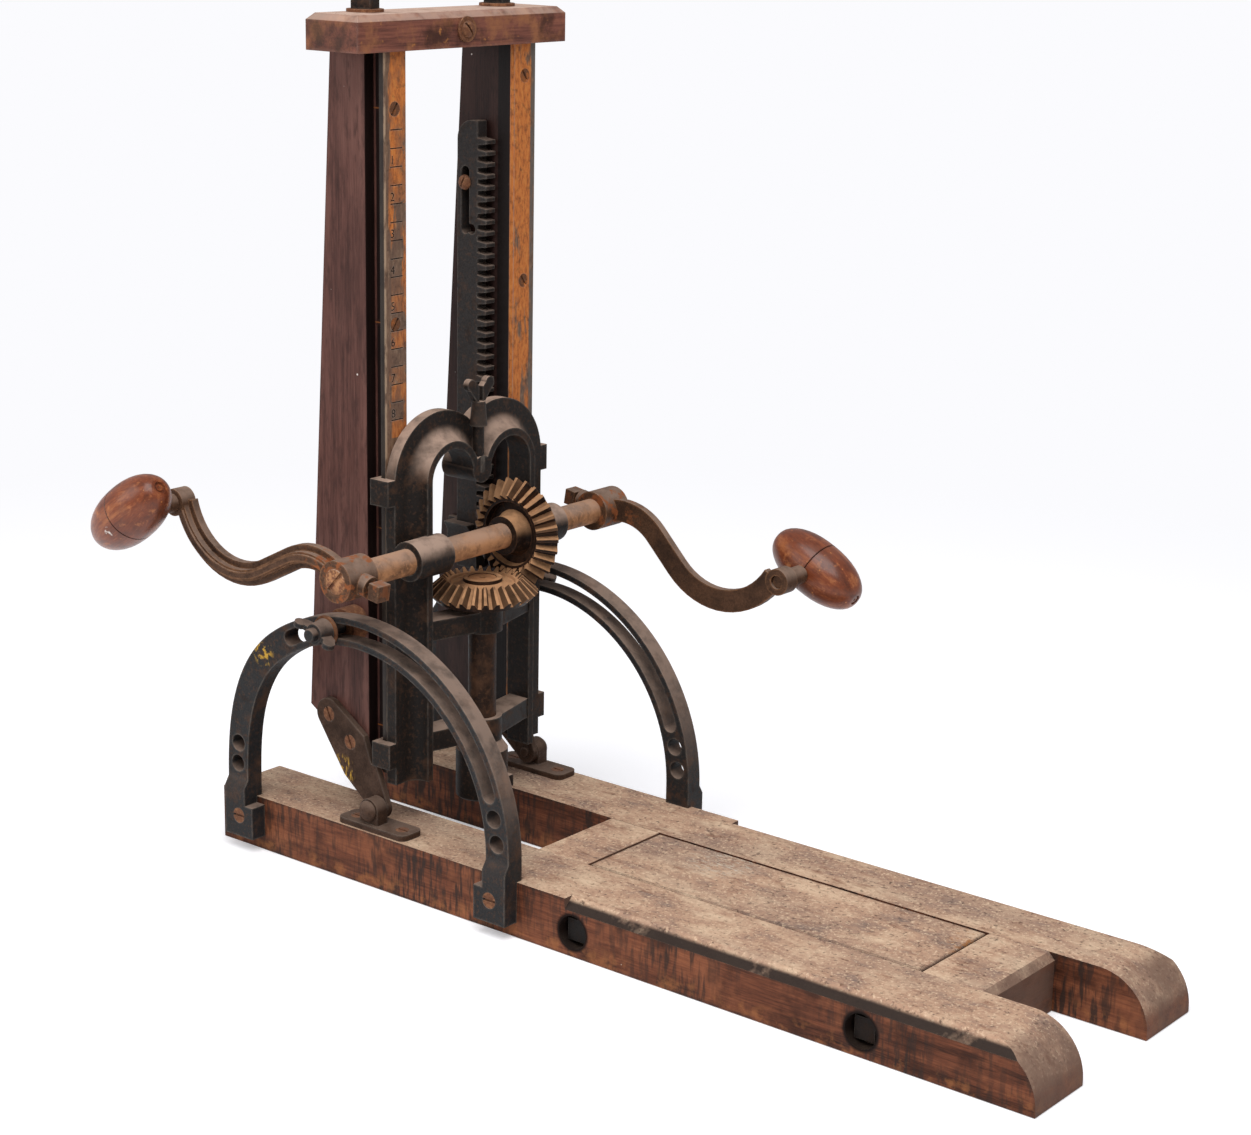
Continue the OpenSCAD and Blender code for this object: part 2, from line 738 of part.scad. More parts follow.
module upright(side) {
    on_side(side) difference() {
        slab_y(in_y, out_y) polygon([[wood_x, frame_top], [wood_x - upright_top_depth, frame_top],
            [wood_x - upright_heel_depth, heel_z], [wood_x - rabbet_w, toe_z], [wood_x, toe_z - 3]]);
        translate([wood_x - rabbet_w, out_y - rabbet_d, 0]) cube([rabbet_w + over, rabbet_d + over, cap_top]);
        at_strip_screws(side) wood_screw_hole(strip_screw, strip_t);
        at_strap_screws() wood_screw_hole(strap_screw, strap_t);
        translate([tie_x, mid_y, frame_top - tie_rod_len])
            cylinder(r = tie_rod_d / 2 + run_fit, h = 2 * tie_rod_len);
        translate([clamp_x, 0, clamp_z]) {
            bar_y(clamp_d / 2 + run_fit, in_y - over, out_y + over);
            bar_y(clamp_head_d / 2 + run_fit, in_y - over, in_y + clamp_head_t);
        }
        if (side > 0) translate([rack_screw_x, 0, rack_screw_z])
            bar_y(rack_screw_d / 2 + run_fit, in_y - over, in_y + 16);
        if (side > 0) at_keeper_screw() bar_y(2.5 + run_fit, in_y - over, in_y + 14);
    }
}

module near_upright() { color(upright_colour) upright(-1); }

module far_upright() { color(upright_colour) upright(1); }

// Where the screws of one strip go before it is put on its side, with z pointing out of the strip
module at_strip_screws(side) {
    first_z = frame_top - strip_screw_drops[side < 0 ? 0 : 1];
    for (i = [0:3]) translate([strip_x, mid_y, first_z - i * strip_screw_pitch])
        rotate([0, 90, 0]) children();
}

module guide_strip(side) {
    on_side(side) difference() {
        translate([wood_x, in_y, strip_low]) cube([strip_t, upright_t, frame_top - strip_low]);
        at_strip_screws(side) wood_screw_hole(strip_screw, strip_t);
    }
}

module near_guide_strip() { color(strip_colour) guide_strip(-1); }

module far_guide_strip() { color(strip_colour) guide_strip(1); }

module strip_screws() {
    color(rust_colour) for (side = [-1, 1]) on_side(side) at_strip_screws(side) rotate([0, 0, 35])
        wood_screw(strip_screw, strip_t);
}

module cap_beam() {
    cut = cap_chamfer * sqrt(2);
    color(rail_colour) difference() {
        translate([cap_front - cap_depth, -cap_len / 2, frame_top]) cube([cap_depth, cap_len, cap_t]);
        for (x = [cap_front - cap_depth, cap_front]) translate([x, 0, cap_top]) rotate([0, 45, 0])
            cube([cut, 2 * cap_len, cut], center = true);
        for (y = [-cap_len / 2, cap_len / 2]) translate([cap_front, y, cap_top]) rotate([45, 0, 0])
            cube([4 * cap_depth, cut, cut], center = true);
        for (y = [-mid_y, mid_y]) translate([tie_x, y, frame_top - over])
            cylinder(r = tie_rod_d / 2 + run_fit, h = cap_t + 2 * over);
        at_cap_screw() bar_x(3.5 + run_fit, -24, over);
    }
}

module at_cap_screw() {
    translate([cap_front, 0, frame_top + cap_t / 2]) children();
}

cap_washer_t = 2.2;
cap_nut_af = 15;
cap_nut_h = 8;

module at_tie_rods(z) {
    for (y = [-mid_y, mid_y]) translate([tie_x, y, z]) children();
}

module tie_rods() {
    color(iron_colour) at_tie_rods(frame_top - tie_rod_len)
        cylinder(d = tie_rod_d, h = tie_rod_len + cap_t + cap_washer_t + cap_nut_h + 3);
}

module cap_washers() {
    color(rust_colour) at_tie_rods(cap_top) washer(cap_washer_d, tie_rod_d / 2 + run_fit, cap_washer_t);
}

module cap_nuts() {
    color(iron_colour) at_tie_rods(cap_top + cap_washer_t) rotate([0, 0, 20])
        square_nut(cap_nut_af, cap_nut_h, tie_rod_d / 2 + run_fit);
}

module cap_screw() {
    color(iron_colour) at_cap_screw() difference() {
        union() {
            bar_x(3.5, -22, 1.5);
            translate([1.5, 0, 0]) rotate([0, 90, 0]) rotate_extrude()
                polygon([[0, 0], [6, 0], [5.4, 1.6], [3.4, 2.6], [0, 3]]);
        }
        translate([3.3, 0, 0]) rotate([40, 0, 0]) cube([2.4, 1.5, 20], center = true);
    }
}

module cap_screw_washer() {
    color(iron_colour) at_cap_screw() rotate([0, 90, 0]) washer(18, 3.5 + run_fit, 1.5);
}

// Quadrant clamps

module at_clamp() {
    translate([clamp_x, 0, clamp_z]) children();
}

module clamp_bolts() {
    color(iron_colour) both_sides() at_clamp() {
        bar_y(clamp_d / 2, in_y, nut_y + wing_nut_h + 1.5);
        bar_y(clamp_head_d / 2, in_y, in_y + clamp_head_t);
    }
}

module clamp_collars() {
    color(rust_colour) both_sides() at_clamp() translate([0, out_y, 0]) rotate([-90, 0, 0])
        washer(2 * collar_r, clamp_d / 2 + run_fit, arc_in - slide_gap - out_y);
}

module clamp_washers() {
    color(rust_colour) both_sides() at_clamp() translate([0, washer_in, 0]) rotate([-90, 0, 0])
        washer(clamp_washer_d, clamp_d / 2 + run_fit, clamp_washer_t);
}

// Wing nut on the clamp bolt: tapered hub and two raised ears
module wing_nut(side) {
    hub_low = clamp_d / 2 + 4.5;
    hub_top = clamp_d / 2 + 2.5;
    on_side(side) at_clamp() translate([0, nut_y + run_fit, 0]) rotate([-90, 20, 0]) difference() {
        union() {
            cylinder(r1 = hub_low, r2 = hub_top, h = wing_nut_h * 0.75);
            for (turn = [0, 180]) rotate([0, 0, turn]) slab_y(-2, 2)
                wing_outline(hub_top - 2, hub_low + 10, wing_nut_h);
        }
        translate([0, 0, -over]) cylinder(r = clamp_d / 2 + run_fit, h = wing_nut_h + 2 * over);
    }
}

// One ear of a wing nut or thumb screw, from its root radius to its rounded tip
module wing_outline(root, reach, top) {
    tip_r = 4.5;
    polygon([[root, 1], [reach - tip_r, top - 2 * tip_r - 2], [reach, top - tip_r],
        [reach - 2 * tip_r, top - tip_r + 1], [root, top * 0.7]]);
    translate([reach - tip_r, top - tip_r]) circle(r = tip_r);
}

module near_wing_nut() { color(iron_colour) wing_nut(-1); }

module far_wing_nut() { color(iron_colour) wing_nut(1); }

// Rack

rack_teeth = floor((rack_len - 20) / rack_pitch);

// Toothed edge from the top of the rack down, in X and Z
function rack_edge() = [for (i = [0:rack_teeth - 1], p = [[0, 0.29], [1, 0.42], [1, 0.79], [0, 0.92]])
    [rack_root_x + p[0] * rack_tooth, rack_top - 10 - (i + p[1]) * rack_pitch]];

module rack() {
    corner = rack_plain * 0.7;
    corner_x = rack_back_x + corner;
    slot_top = rack_screw_z - rack_travel[0];
    slot_low = rack_screw_z - rack_travel[1];
    color(iron_colour) difference() {
        slab_y(rack_y, rack_y + rack_t) difference() {
            polygon(concat([[rack_root_x, rack_top]], rack_edge(),
                [[rack_root_x, rack_low], [rack_back_x, rack_low]],
                [for (a = [180:-9:90]) [corner_x + corner * cos(a), rack_top - corner + corner * sin(a)]]));
            translate([rack_screw_x - rack_slot_w / 2, slot_low]) square([rack_slot_w, slot_top - slot_low]);
            translate([rack_screw_x, slot_low]) square([6, rack_slot_w / 2]);
        }
        for (p = [[rack_screw_x, slot_top], [rack_screw_x, slot_low], [rack_screw_x + 6, slot_low]])
            translate([p[0], 0, p[1]]) bar_y(rack_slot_w / 2, rack_y - over, in_y);
    }
}

module rack_screw() {
    color(iron_colour) translate([rack_screw_x, 0, rack_screw_z]) difference() {
        union() {
            bar_y(rack_screw_d / 2, rack_y - slide_gap, in_y + 15);
            translate([0, rack_y - slide_gap, 0]) rotate([90, 0, 0]) rotate_extrude()
                polygon([[0, 0], [5.6, 0], [5.2, 1.6], [3.6, 3], [0, 3.6]]);
        }
        translate([0, rack_y - slide_gap - 3.2, 0]) rotate([0, 25, 0]) cube([1.4, 2.4, 20], center = true);
    }
}

// Bracket on the far upright that holds the rack against it, flared where the rack enters
module rack_keeper() {
    back_x = rack_back_x - slide_gap;
    near_y = rack_y - slide_gap;
    front_x = rack_root_x - 1;
    color(iron_colour) difference() {
        union() {
            translate([back_x - keeper_t, near_y - keeper_t, keeper_z])
                cube([front_x - back_x + keeper_t, keeper_t, keeper_h]);
            translate([back_x - keeper_t, near_y - keeper_t, keeper_z])
                cube([keeper_t, in_y - near_y + keeper_t, keeper_h]);
            translate([back_x - keeper_t - 9, in_y - 4, keeper_z]) cube([10, 4, keeper_h]);
            slab_x(back_x - keeper_t, front_x) polygon([[near_y - keeper_t, keeper_z + keeper_h - 7],
                [near_y, keeper_z + keeper_h - 7], [near_y, keeper_z + keeper_h],
                [near_y - keeper_t - 4, keeper_z + keeper_h]]);
        }
        at_keeper_screw() bar_y(2.5 + run_fit, in_y - 8, in_y + over);
    }
}

module at_keeper_screw() {
    translate([rack_back_x - keeper_t - 4.5, 0, keeper_z + keeper_h / 2]) children();
}

module keeper_screw() {
    color(rust_colour) at_keeper_screw() {
        bar_y(2.5, in_y - 4, in_y + 13);
        translate([0, in_y - 4, 0]) rotate([90, 0, 0]) rotate_extrude()
            polygon([[0, 0], [4.2, 0], [3.6, 1.4], [2, 2.2], [0, 2.4]]);
    }
}

// Carriage

// Section of the casting: a flange against the strip, a web standing forward, a cove between them.
// Its first coordinate runs outward from the inside of the web, its second forward from the strip.
module angle_section(start) {
    front = web_reach - slide_gap;
    cove_x = start + web_t + cove_r;
    cove_y = flange_t + cove_r;
    polygon(concat([[start, 0], [start + flange_w, 0], [start + flange_w, flange_t]],
        [for (a = [270:-10:180]) [cove_x + cove_r * cos(a), cove_y + cove_r * sin(a)]],
        [[start + web_t, front], [start, front]]));
}

// One lobe of the heart-shaped yoke, ending at the middle of the machine
module lobe() {
    intersection() {
        translate([flange_x, lobe_y, lobe_z]) rotate([0, 90, 0]) rotate([0, 0, 90])
            rotate_extrude(angle = 180, $fn = 96) angle_section(lobe_in_r);
        translate([flange_x - over, 0, lobe_z]) cube([4 * web_reach, 2 * out_y, 4 * flange_w]);
    }
}

module leg() {
    translate([flange_x, 0, leg_z]) mirror([1, -1, 0]) linear_extrude(lobe_z - leg_z) angle_section(web_y);
}

// Lug that hooks round the outer edge of a guide strip
module lug(z) {
    hook_x = wood_x - slide_gap;
    hook_t = 4;
    side_y = out_y + slide_gap;
    translate([hook_x - hook_t, side_y, z])
        cube([flange_x + flange_t - hook_x + hook_t, lug_out - slide_gap, lug_h]);
    translate([hook_x - hook_t, out_y - rabbet_d + 2, z]) cube([hook_t, rabbet_d - 2 + lug_out, lug_h]);
    translate([flange_x, out_y - 3, z]) cube([flange_t, 4, lug_h]);
}

module carriage_frame() {
    lugs = [rail_h + lug_low_rise, rail_h + lug_low_rise + lug_spacing];
    color(iron_colour) difference() {
        union() {
            both_sides() {
                leg();
                lobe();
                for (z = lugs) lug(z);
                translate([spindle_x, 0, shaft_z]) bar_y(shaft_boss_r, shaft_boss_in, shaft_boss_out);
                for (z = [upper_arm_z, lower_arm_z]) translate([0, 0, z]) linear_extrude(arm_t)
                    polygon([[spindle_x - arm_w / 2, 0], [spindle_x + arm_w / 2, 0],
                        [web_front - over, web_y + 1], [flange_x + 2, web_y + 1]]);
            }
            for (z = [upper_arm_z, lower_arm_z]) translate([spindle_x, 0, z - 2])
                cylinder(r = spindle_boss_r, h = arm_t + 3);
            translate([0, 0, yoke_boss_z]) bar_x(yoke_boss_r, flange_x - 10, web_front);
        }
        translate([spindle_x, 0, shaft_z]) bar_y(shaft_d / 2 + run_fit, -base_w, base_w);
        translate([spindle_x, 0, lower_arm_z - 2 * over]) translate([0, 0, -over])
            cylinder(r = spindle_d / 2 + run_fit, h = upper_arm_z - lower_arm_z + 2 * arm_t);
        translate([thumb_x, 0, yoke_boss_z - 2]) cylinder(r = thumb_d / 2 + run_fit, h = 60);
    }
}

// Two-eared screw in the dip of the yoke
module thumb_screw() {
    hub_low = lobe_z + 34;
    color(iron_colour) translate([thumb_x, 0, 0]) {
        translate([0, 0, yoke_boss_z - 1.8]) cylinder(d = thumb_d, h = hub_low - yoke_boss_z + 4);
        translate([0, 0, hub_low]) cylinder(r1 = 6.5, r2 = 5, h = 18);
        translate([0, 0, hub_low + 14]) for (turn = [90, 270]) rotate([0, 0, turn])
            slab_y(-2.5, 2.5) wing_outline(2, 14, 21);
    }
}

// Crank

module at_shaft() {
    translate([spindle_x, 0, shaft_z]) children();
}

module crank_shaft() {
    color(rust_colour) at_shaft() bar_y(shaft_d / 2, -shaft_len / 2, shaft_len / 2);
}

// Flat band of a given width along the arm: the bow, then the dip, with a straight between them
module arm_band(w) {
    bow_from = atan2(-bow_centre[1], -bow_centre[0]);
    dip_to = atan2(-dip_centre[1], throw - dip_centre[0]) + 360;
    function edge(side) = concat(
        arc_points(bow_centre, bow_r + side * w / 2, bow_from, touch_angle, 12),
        arc_points(dip_centre, dip_r - side * w / 2, touch_angle + 180, dip_to, 16));
    low = edge(-1);
    polygon(concat(edge(1), [for (i = [len(low) - 1:-1:0]) low[i]]));
}

// An arm with its hub on the far side of the machine, pointing to the seat end
module crank_arm() {
    difference() {
        union() {
            bar_y(hub_r, hub_in_y, shaft_len / 2 - 0.5);
            slab_y(crank_y, crank_y + crank_flange_t) arm_band(crank_flange_w);
            slab_y(crank_y + 1, arm_out_y - 1.5) arm_band(crank_rib_w);
            slab_y(crank_y + 2, arm_out_y) arm_band(crank_rib_w - 3);
            translate([throw, 0, 0]) bar_y(end_boss_r, crank_y - 1, arm_out_y);
            translate([0, crank_y + 1, 0]) bar_x(set_boss_r, -hub_r - 6, 0);
        }
        bar_y(shaft_d / 2 + 0.02, 0, shaft_len);
        translate([throw, 0, 0]) bar_y(handle_pin_d / 2 + run_fit, crank_y - 2 * over, arm_out_y + over);
        translate([0, crank_y + 1, 0]) bar_x(set_screw_d / 2 + run_fit, -hub_r - 6 - over, 0);
    }
}

// Places a far-side piece on the crank, or turns it end for end onto the near side
module on_crank(side) {
    at_shaft() rotate([0, crank_rest, 0]) rotate([0, 0, side < 0 ? 180 : 0]) children();
}

module near_crank_arm() { color(rust_colour) on_crank(-1) crank_arm(); }

module far_crank_arm() { color(rust_colour) on_crank(1) crank_arm(); }

module crank_set_screws() {
    color(rust_colour) for (side = [-1, 1]) on_crank(side) translate([0, crank_y + 1, 0]) {
        bar_x(set_screw_d / 2, -hub_r - 9, -shaft_d / 2 - 0.05);
        translate([-hub_r - 18, -set_head / 2, -set_head / 2]) cube([9.5, set_head, set_head]);
    }
}

module handle_pin() {
    translate([throw, 0, 0]) {
        bar_y(handle_pin_d / 2, crank_y + 1, handle_in_y + handle_d - 3);
        bar_y(handle_pin_d / 2 + 2, arm_out_y, handle_in_y - slide_gap);
    }
}

module near_handle_pin() { color(rust_colour) on_crank(-1) handle_pin(); }

module far_handle_pin() { color(rust_colour) on_crank(1) handle_pin(); }

// Radius of the turned handle at a share of its half length
function handle_r(t) = handle_end_d / 2 + (handle_d - handle_end_d) / 2 * pow(1 - pow(abs(t), 2.3), 0.62);

// Barrel handle set crosswise on its pin, with one turned groove
module handle(turn) {
    steps = 14;
    half = handle_len / 2;
    groove = handle_len * 0.14;
    translate([throw, handle_y, 0]) rotate([0, turn, 0]) difference() {
        rotate([0, 90, 0]) rotate_extrude() difference() {
            polygon(concat([[0, -half]], [for (i = [-steps:steps])
                let (t = sin(90 * i / steps)) [handle_r(t), half * t]], [[0, half]]));
            translate([handle_r(0) * 1.01, groove]) circle(r = 1.2, $fn = 16);
        }
        bar_y(handle_pin_d / 2 + run_fit, -handle_d, handle_d);
    }
}

module near_handle() { color(handle_colour) on_crank(-1) handle(near_handle_rest); }

module far_handle() { color(handle_colour) on_crank(1) handle(far_handle_rest + 180); }

// Gears

function tip(s) = [s * (pitch_r + tip_h), -s * (pitch_r - tip_h)];
function root(s) = [s * (pitch_r - root_h), -s * (pitch_r + root_h)];

// Gap between two teeth, a wedge that tapers towards the point where the axes cross
module tooth_gap() {
    small = small_scale * 0.85;
    half_gap = gap_share * PI * gear_module / 2;
    high = 2.2 * gear_module;
    low = 1.2 * gear_module;
    wide = half_gap + high * tan(20);
    narrow = half_gap - low * tan(20);
    function corner(s, h, w) = [s * (pitch_r + h * cos(45)), s * w, s * (h * cos(45) - pitch_r)];
    ends = [small, 1.2];
    points = [for (s = ends, p = [[high, wide], [high, -wide], [-low, -narrow], [-low, narrow]])
        corner(s, p[0], p[1])];
    polyhedron(points, [[0, 1, 2, 3], [7, 6, 5, 4], [0, 4, 5, 1], [1, 5, 6, 2], [2, 6, 7, 3], [3, 7, 4, 0]]);
}

// Mitre gear below the point where the axes cross, with a gap or a tooth at the given angle
module mitre_gear(bore_r, hub_r, hub_top, hub_low, dish, first) {
    back = [pitch_r - rim_h, -gear_back];
    small = root(small_scale);
    difference() {
        rotate_extrude($fn = 128) polygon([tip(1), tip(small_scale), small, [small[0] - 2, small[1]],
            [small[0] - 3, small[1] - dish], [hub_r + 3, small[1] - dish], [hub_r, small[1]],
            [hub_r, hub_top], [bore_r, hub_top], [bore_r, hub_low], [hub_r, hub_low],
            [hub_r, back[1]], back]);
        for (i = [0:teeth - 1]) rotate([0, 0, first + i * 360 / teeth]) tooth_gap();
    }
}

module upper_gear() {
    color(rust_colour) at_shaft() rotate([0, crank_rest, 0]) rotate([90, 0, 0]) rotate([0, 0, crank_rest])
        mitre_gear(shaft_d / 2 + 0.02, gear_hub_r, 6.5 - pitch_r * small_scale, -shaft_boss_in + 0.4,
            5, 270 + 180 / teeth);
}

module lower_gear() {
    color(rust_colour) at_shaft()
        mitre_gear(spindle_d / 2 + 0.02, spindle_d / 2 + 4, 1 - pitch_r * small_scale,
            upper_arm_z + arm_t + 1.3 - shaft_z, 1.5, 90);
}

// Spindle

module spindle() {
    top = shaft_z - pitch_r * small_scale + 0.6;
    color(rust_colour) translate([spindle_x, 0, 0]) difference() {
        translate([0, 0, socket_top]) cylinder(d = spindle_d, h = top - socket_top);
        translate([0, 0, top - 4]) cylinder(d1 = 1, d2 = 5, h = 4 + 0.001);
    }
}

module auger_socket() {
    color(iron_colour) translate([spindle_x, 0, 0]) difference() {
        translate([0, 0, socket_low]) rotate_extrude()
            polygon([[0, 0], [socket_d / 2 - 1, 0], [socket_d / 2, 1], [socket_d / 2, socket_len - 7],
                [spindle_d / 2 + 4, socket_len], [0, socket_len]]);
        translate([0, 0, socket_low - over]) cylinder(d = auger_d, h = auger_depth + over);
        translate([0, 0, socket_low + socket_len / 2 - 6]) bar_x(4 + run_fit, 0, socket_d);
    }
}

module socket_screw() {
    color(iron_colour) translate([spindle_x, 0, socket_low + socket_len / 2 - 6]) {
        bar_x(4, auger_d / 2 + 1, socket_d / 2 + 2);
        translate([socket_d / 2 + 2, -4.5, -4.5]) cube([6, 9, 9]);
    }
}

near_rail();
far_rail();
front_cross_rail();
seat_panel();
seat_end_rail();
cross_bolts();
cross_nuts();
cross_washers();
near_quadrant();
far_quadrant();
quadrant_screws();
near_hinge_plate();
far_hinge_plate();
hinge_plate_screws();
hinge_pins();
near_upright();
far_upright();
near_guide_strip();
far_guide_strip();
strip_screws();
cap_beam();
tie_rods();
cap_washers();
cap_nuts();
cap_screw();
cap_screw_washer();
near_strap();
far_strap();
strap_screws();
clamp_bolts();
clamp_collars();
clamp_washers();
near_wing_nut();
far_wing_nut();
rack();
rack_screw();
rack_keeper();
keeper_screw();
carriage_frame();
thumb_screw();
crank_shaft();
upper_gear();
near_crank_arm();
far_crank_arm();
crank_set_screws();
near_handle_pin();
far_handle_pin();
near_handle();
far_handle();
spindle();
lower_gear();
auger_socket();
socket_screw();
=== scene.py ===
"""Dresses the packed beam drill: old wood, rusty iron, an inch scale, turned shaft and handles, a studio."""

import math

import bpy
from bpy.props import FloatProperty, FloatVectorProperty, IntProperty, PointerProperty
from bpy.types import Operator, Panel, PropertyGroup
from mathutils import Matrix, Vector


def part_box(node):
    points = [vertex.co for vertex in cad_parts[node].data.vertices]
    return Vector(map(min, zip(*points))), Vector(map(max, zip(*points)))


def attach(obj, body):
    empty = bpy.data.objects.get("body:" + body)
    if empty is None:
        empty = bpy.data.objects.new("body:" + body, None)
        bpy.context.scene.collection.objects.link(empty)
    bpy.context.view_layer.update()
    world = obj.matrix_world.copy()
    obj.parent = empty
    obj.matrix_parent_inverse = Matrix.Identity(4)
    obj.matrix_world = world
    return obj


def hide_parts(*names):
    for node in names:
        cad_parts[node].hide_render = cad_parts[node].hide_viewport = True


bl_info = {
    "name": "Beam drill",
    "version": (1, 0, 0),
    "blender": (4, 5, 0),
    "location": "View3D > Sidebar > Beam drill",
    "description": "Finishes the wood and iron of a hand-cranked beam drill and sets up its studio",
    "category": "Object",
}

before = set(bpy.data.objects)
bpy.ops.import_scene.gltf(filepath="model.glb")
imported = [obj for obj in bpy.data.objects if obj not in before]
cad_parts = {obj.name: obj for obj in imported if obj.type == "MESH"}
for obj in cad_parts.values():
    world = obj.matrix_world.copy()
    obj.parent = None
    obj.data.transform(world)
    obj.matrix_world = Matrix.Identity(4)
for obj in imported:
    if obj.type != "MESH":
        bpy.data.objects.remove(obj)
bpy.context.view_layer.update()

MM = 0.001
INCH = 25.4 * MM
# share of a letter's size that a figure of the built-in font is high
FIGURE_SHARE = 0.7


def corners(name):
    """Lowest and highest corner of a node at rest."""
    return [Vector(corner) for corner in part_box(name)]


# Settings that a user can change

def linear(hex_colour):
    """Scene-linear RGBA of an sRGB hex colour."""
    parts = [int(hex_colour[i:i + 2], 16) / 255 for i in (1, 3, 5)]
    return [c / 12.92 if c <= 0.04045 else ((c + 0.055) / 1.055) ** 2.4 for c in parts] + [1.0]


def rgba(value):
    """RGBA of a colour property."""
    return list(value) + [1.0]


def tint(name, note, hex_colour):
    """A colour that a user can change."""
    return FloatVectorProperty(name=name, description=note, subtype="COLOR", min=0, max=1,
                               default=linear(hex_colour)[:3])


def length(name, note, size_mm, low_mm, high_mm):
    """A size that a user can change."""
    return FloatProperty(name=name, description=note, subtype="DISTANCE", unit="LENGTH", default=size_mm * MM,
                         min=low_mm * MM, max=high_mm * MM)


def slope(name, note, degrees):
    """An angle that a user can change."""
    return FloatProperty(name=name, description=note, subtype="ANGLE", default=math.radians(degrees))


class WoodColours(PropertyGroup):
    """Colours of the wooden pieces."""
    stain_dark: tint("Stain, dark", "Dark grain of the stained rails", "#2F1A12")
    stain_mid: tint("Stain", "Main colour of the stained rails", "#6A3D2A")
    stain_light: tint("Stain, light", "Worn places of the stained rails", "#935A3D")
    bare: tint("Bare beech", "Low edges that are rubbed to the wood", "#A0673F")
    walnut_dark: tint("Walnut, dark", "Dark grain of the uprights", "#34201C")
    walnut_mid: tint("Walnut", "Main colour of the uprights", "#583831")
    walnut_light: tint("Walnut, light", "Worn places of the uprights", "#704D44")
    cap_dark: tint("Cap, dark", "Dark grain of the cap", "#3F2622")
    cap_mid: tint("Cap", "Main colour of the cap", "#744639")
    cap_light: tint("Cap, light", "Light grain of the cap", "#8E5945")
    cap_worn: tint("Cap, worn", "Rubbed patches of the cap", "#93603F")
    # partly dust, partly painted light where the lamp above falls on the cap's top
    cap_dust: tint("Cap, dust", "Pale dust on the top of the cap", "#BDA292")
    dust_light: tint("Dust, light", "Thick dust on the tops", "#D8BC9F")
    dust_mid: tint("Dust", "Main colour of the dusty tops", "#B5927A")
    dust_dark: tint("Dust, dark", "Grey-violet blotches in the dust", "#7F6D64")
    # near-black that is painted shade in the groove behind the guide strip, with some greasy dirt
    grime: tint("Grime", "Black handling dirt along edges", "#2E2521")
    grease: tint("Grease", "Black grease where the carriage runs", "#120C0B")


class IronColours(PropertyGroup):
    """Colours of the iron pieces."""
    black: tint("Black iron", "Old black paint and oxide", "#1D1917")
    blue: tint("Blue-black iron", "Oiled oxide of the rack", "#322E2D")
    ring: tint("Quadrants", "Dark grey skin of the quadrants", "#2A2A2B")
    spindle: tint("Spindle", "Dark skin of the spindle", "#2A1D17")
    gear: tint("Gears", "Dark skin of the gears", "#211713")
    gear_edge: tint("Gear edges", "Rubbed edges of the teeth", "#7C563F")
    gear_dust: tint("Gear dust", "Rusty dust on the gears", "#B88A64")
    hinge: tint("Hinges", "Rusted skin of the hinges and straps", "#4E382B")
    screw: tint("Screws", "Rusted screws and washers", "#764C35")
    strip_screw: tint("Strip screws", "Rusted screw heads in the strips", "#6A452E")
    bare: tint("Bare iron", "Edges that are rubbed to the metal", "#6F675F")
    brown: tint("Brown rust", "Even brown rust", "#5A3F2E")
    deep: tint("Deep rust", "Dark rust in hollows", "#2C1F18")
    tan: tint("Light rust", "Pale powdery rust", "#B27F58")
    orange: tint("Orange rust", "Bright rust on the strips", "#B86A30")
    dust: tint("Dust on iron", "Brown dust that lies on the castings", "#A58C7C")


class StripSizes(PropertyGroup):
    """Sizes of the inch scale on the near guide strip."""
    ease: length("Eased edges", "Width of the rounding along the strip's edges", 0.5, 0.1, 1)
    line_width: length("Line width", "Width of an engraved line", 1.0, 0.2, 2)
    line_length: length("Line length", "Length of an engraved line", 12, 4, 16)
    line_inset: length("Line inset", "From the outer edge of the strip to the lines", 6.5, 4, 10)
    first_drop: length("First line", "From the top of the strip to the first line", 53, 20, 80)
    figure_height: length("Figure height", "Height of the figures", 6, 3, 10)
    figure_depth: length("Figure depth", "How deep the figures are cut", 0.4, 0.1, 1)
    screw_drop: length("First screw", "From the top of the strip to the first screw", 39, 20, 60)
    screw_pitch: length("Screw pitch", "From one screw to the next", 149, 100, 170)
    screw_head: length("Screw head", "Width of the seat of a screw head", 10.2, 8, 12)
    screw_sink: length("Screw sink", "Depth of the seat of a screw head", 2.8, 2, 4)
    inches: IntProperty(name="Inches", description="How many inches are marked", default=8, min=4, max=12)
    screws: IntProperty(name="Screws", description="How many screws hold the strip", default=4, min=2, max=5)


class ShaftSizes(PropertyGroup):
    """Sizes of the crank shaft's ends."""
    ease: length("Eased end", "Width of the bevel round each end", 0.8, 0.2, 2)
    slot_width: length("Slot width", "Width of the driver slot in the near end", 2.8, 1, 4)
    slot_depth: length("Slot depth", "Depth of the driver slot in the near end", 1.6, 0.5, 4)
    slot_turn: slope("Slot slope", "Slope of the driver slot at rest", 48)


class HandleSizes(PropertyGroup):
    """Sizes and colours of the turned handles."""
    barrel: length("Barrel", "Length of a handle", 79, 60, 90)
    girth: length("Girth", "Thickness of a handle at its middle", 43, 36, 46)
    flat: length("Flat end", "Width of the flat ends", 11, 8, 15)
    ring: length("Ring depth", "Depth of the rings in the flat ends", 0.7, 0.2, 1.5)
    scribe: length("Scribed line", "Width and depth of the line round the middle", 0.9, 0.2, 2)
    near_lean: slope("Near lean", "Slope of the near handle at rest", 36.7)
    far_lean: slope("Far lean", "Slope of the far handle at rest", -26.8)
    varnish_dark: tint("Varnish, dark", "Dark grain under the varnish", "#4C2517")
    varnish_mid: tint("Varnish", "Main colour of the handles", "#783C22")
    varnish_light: tint("Varnish, worn", "Where the varnish is rubbed thin", "#AE6C40")


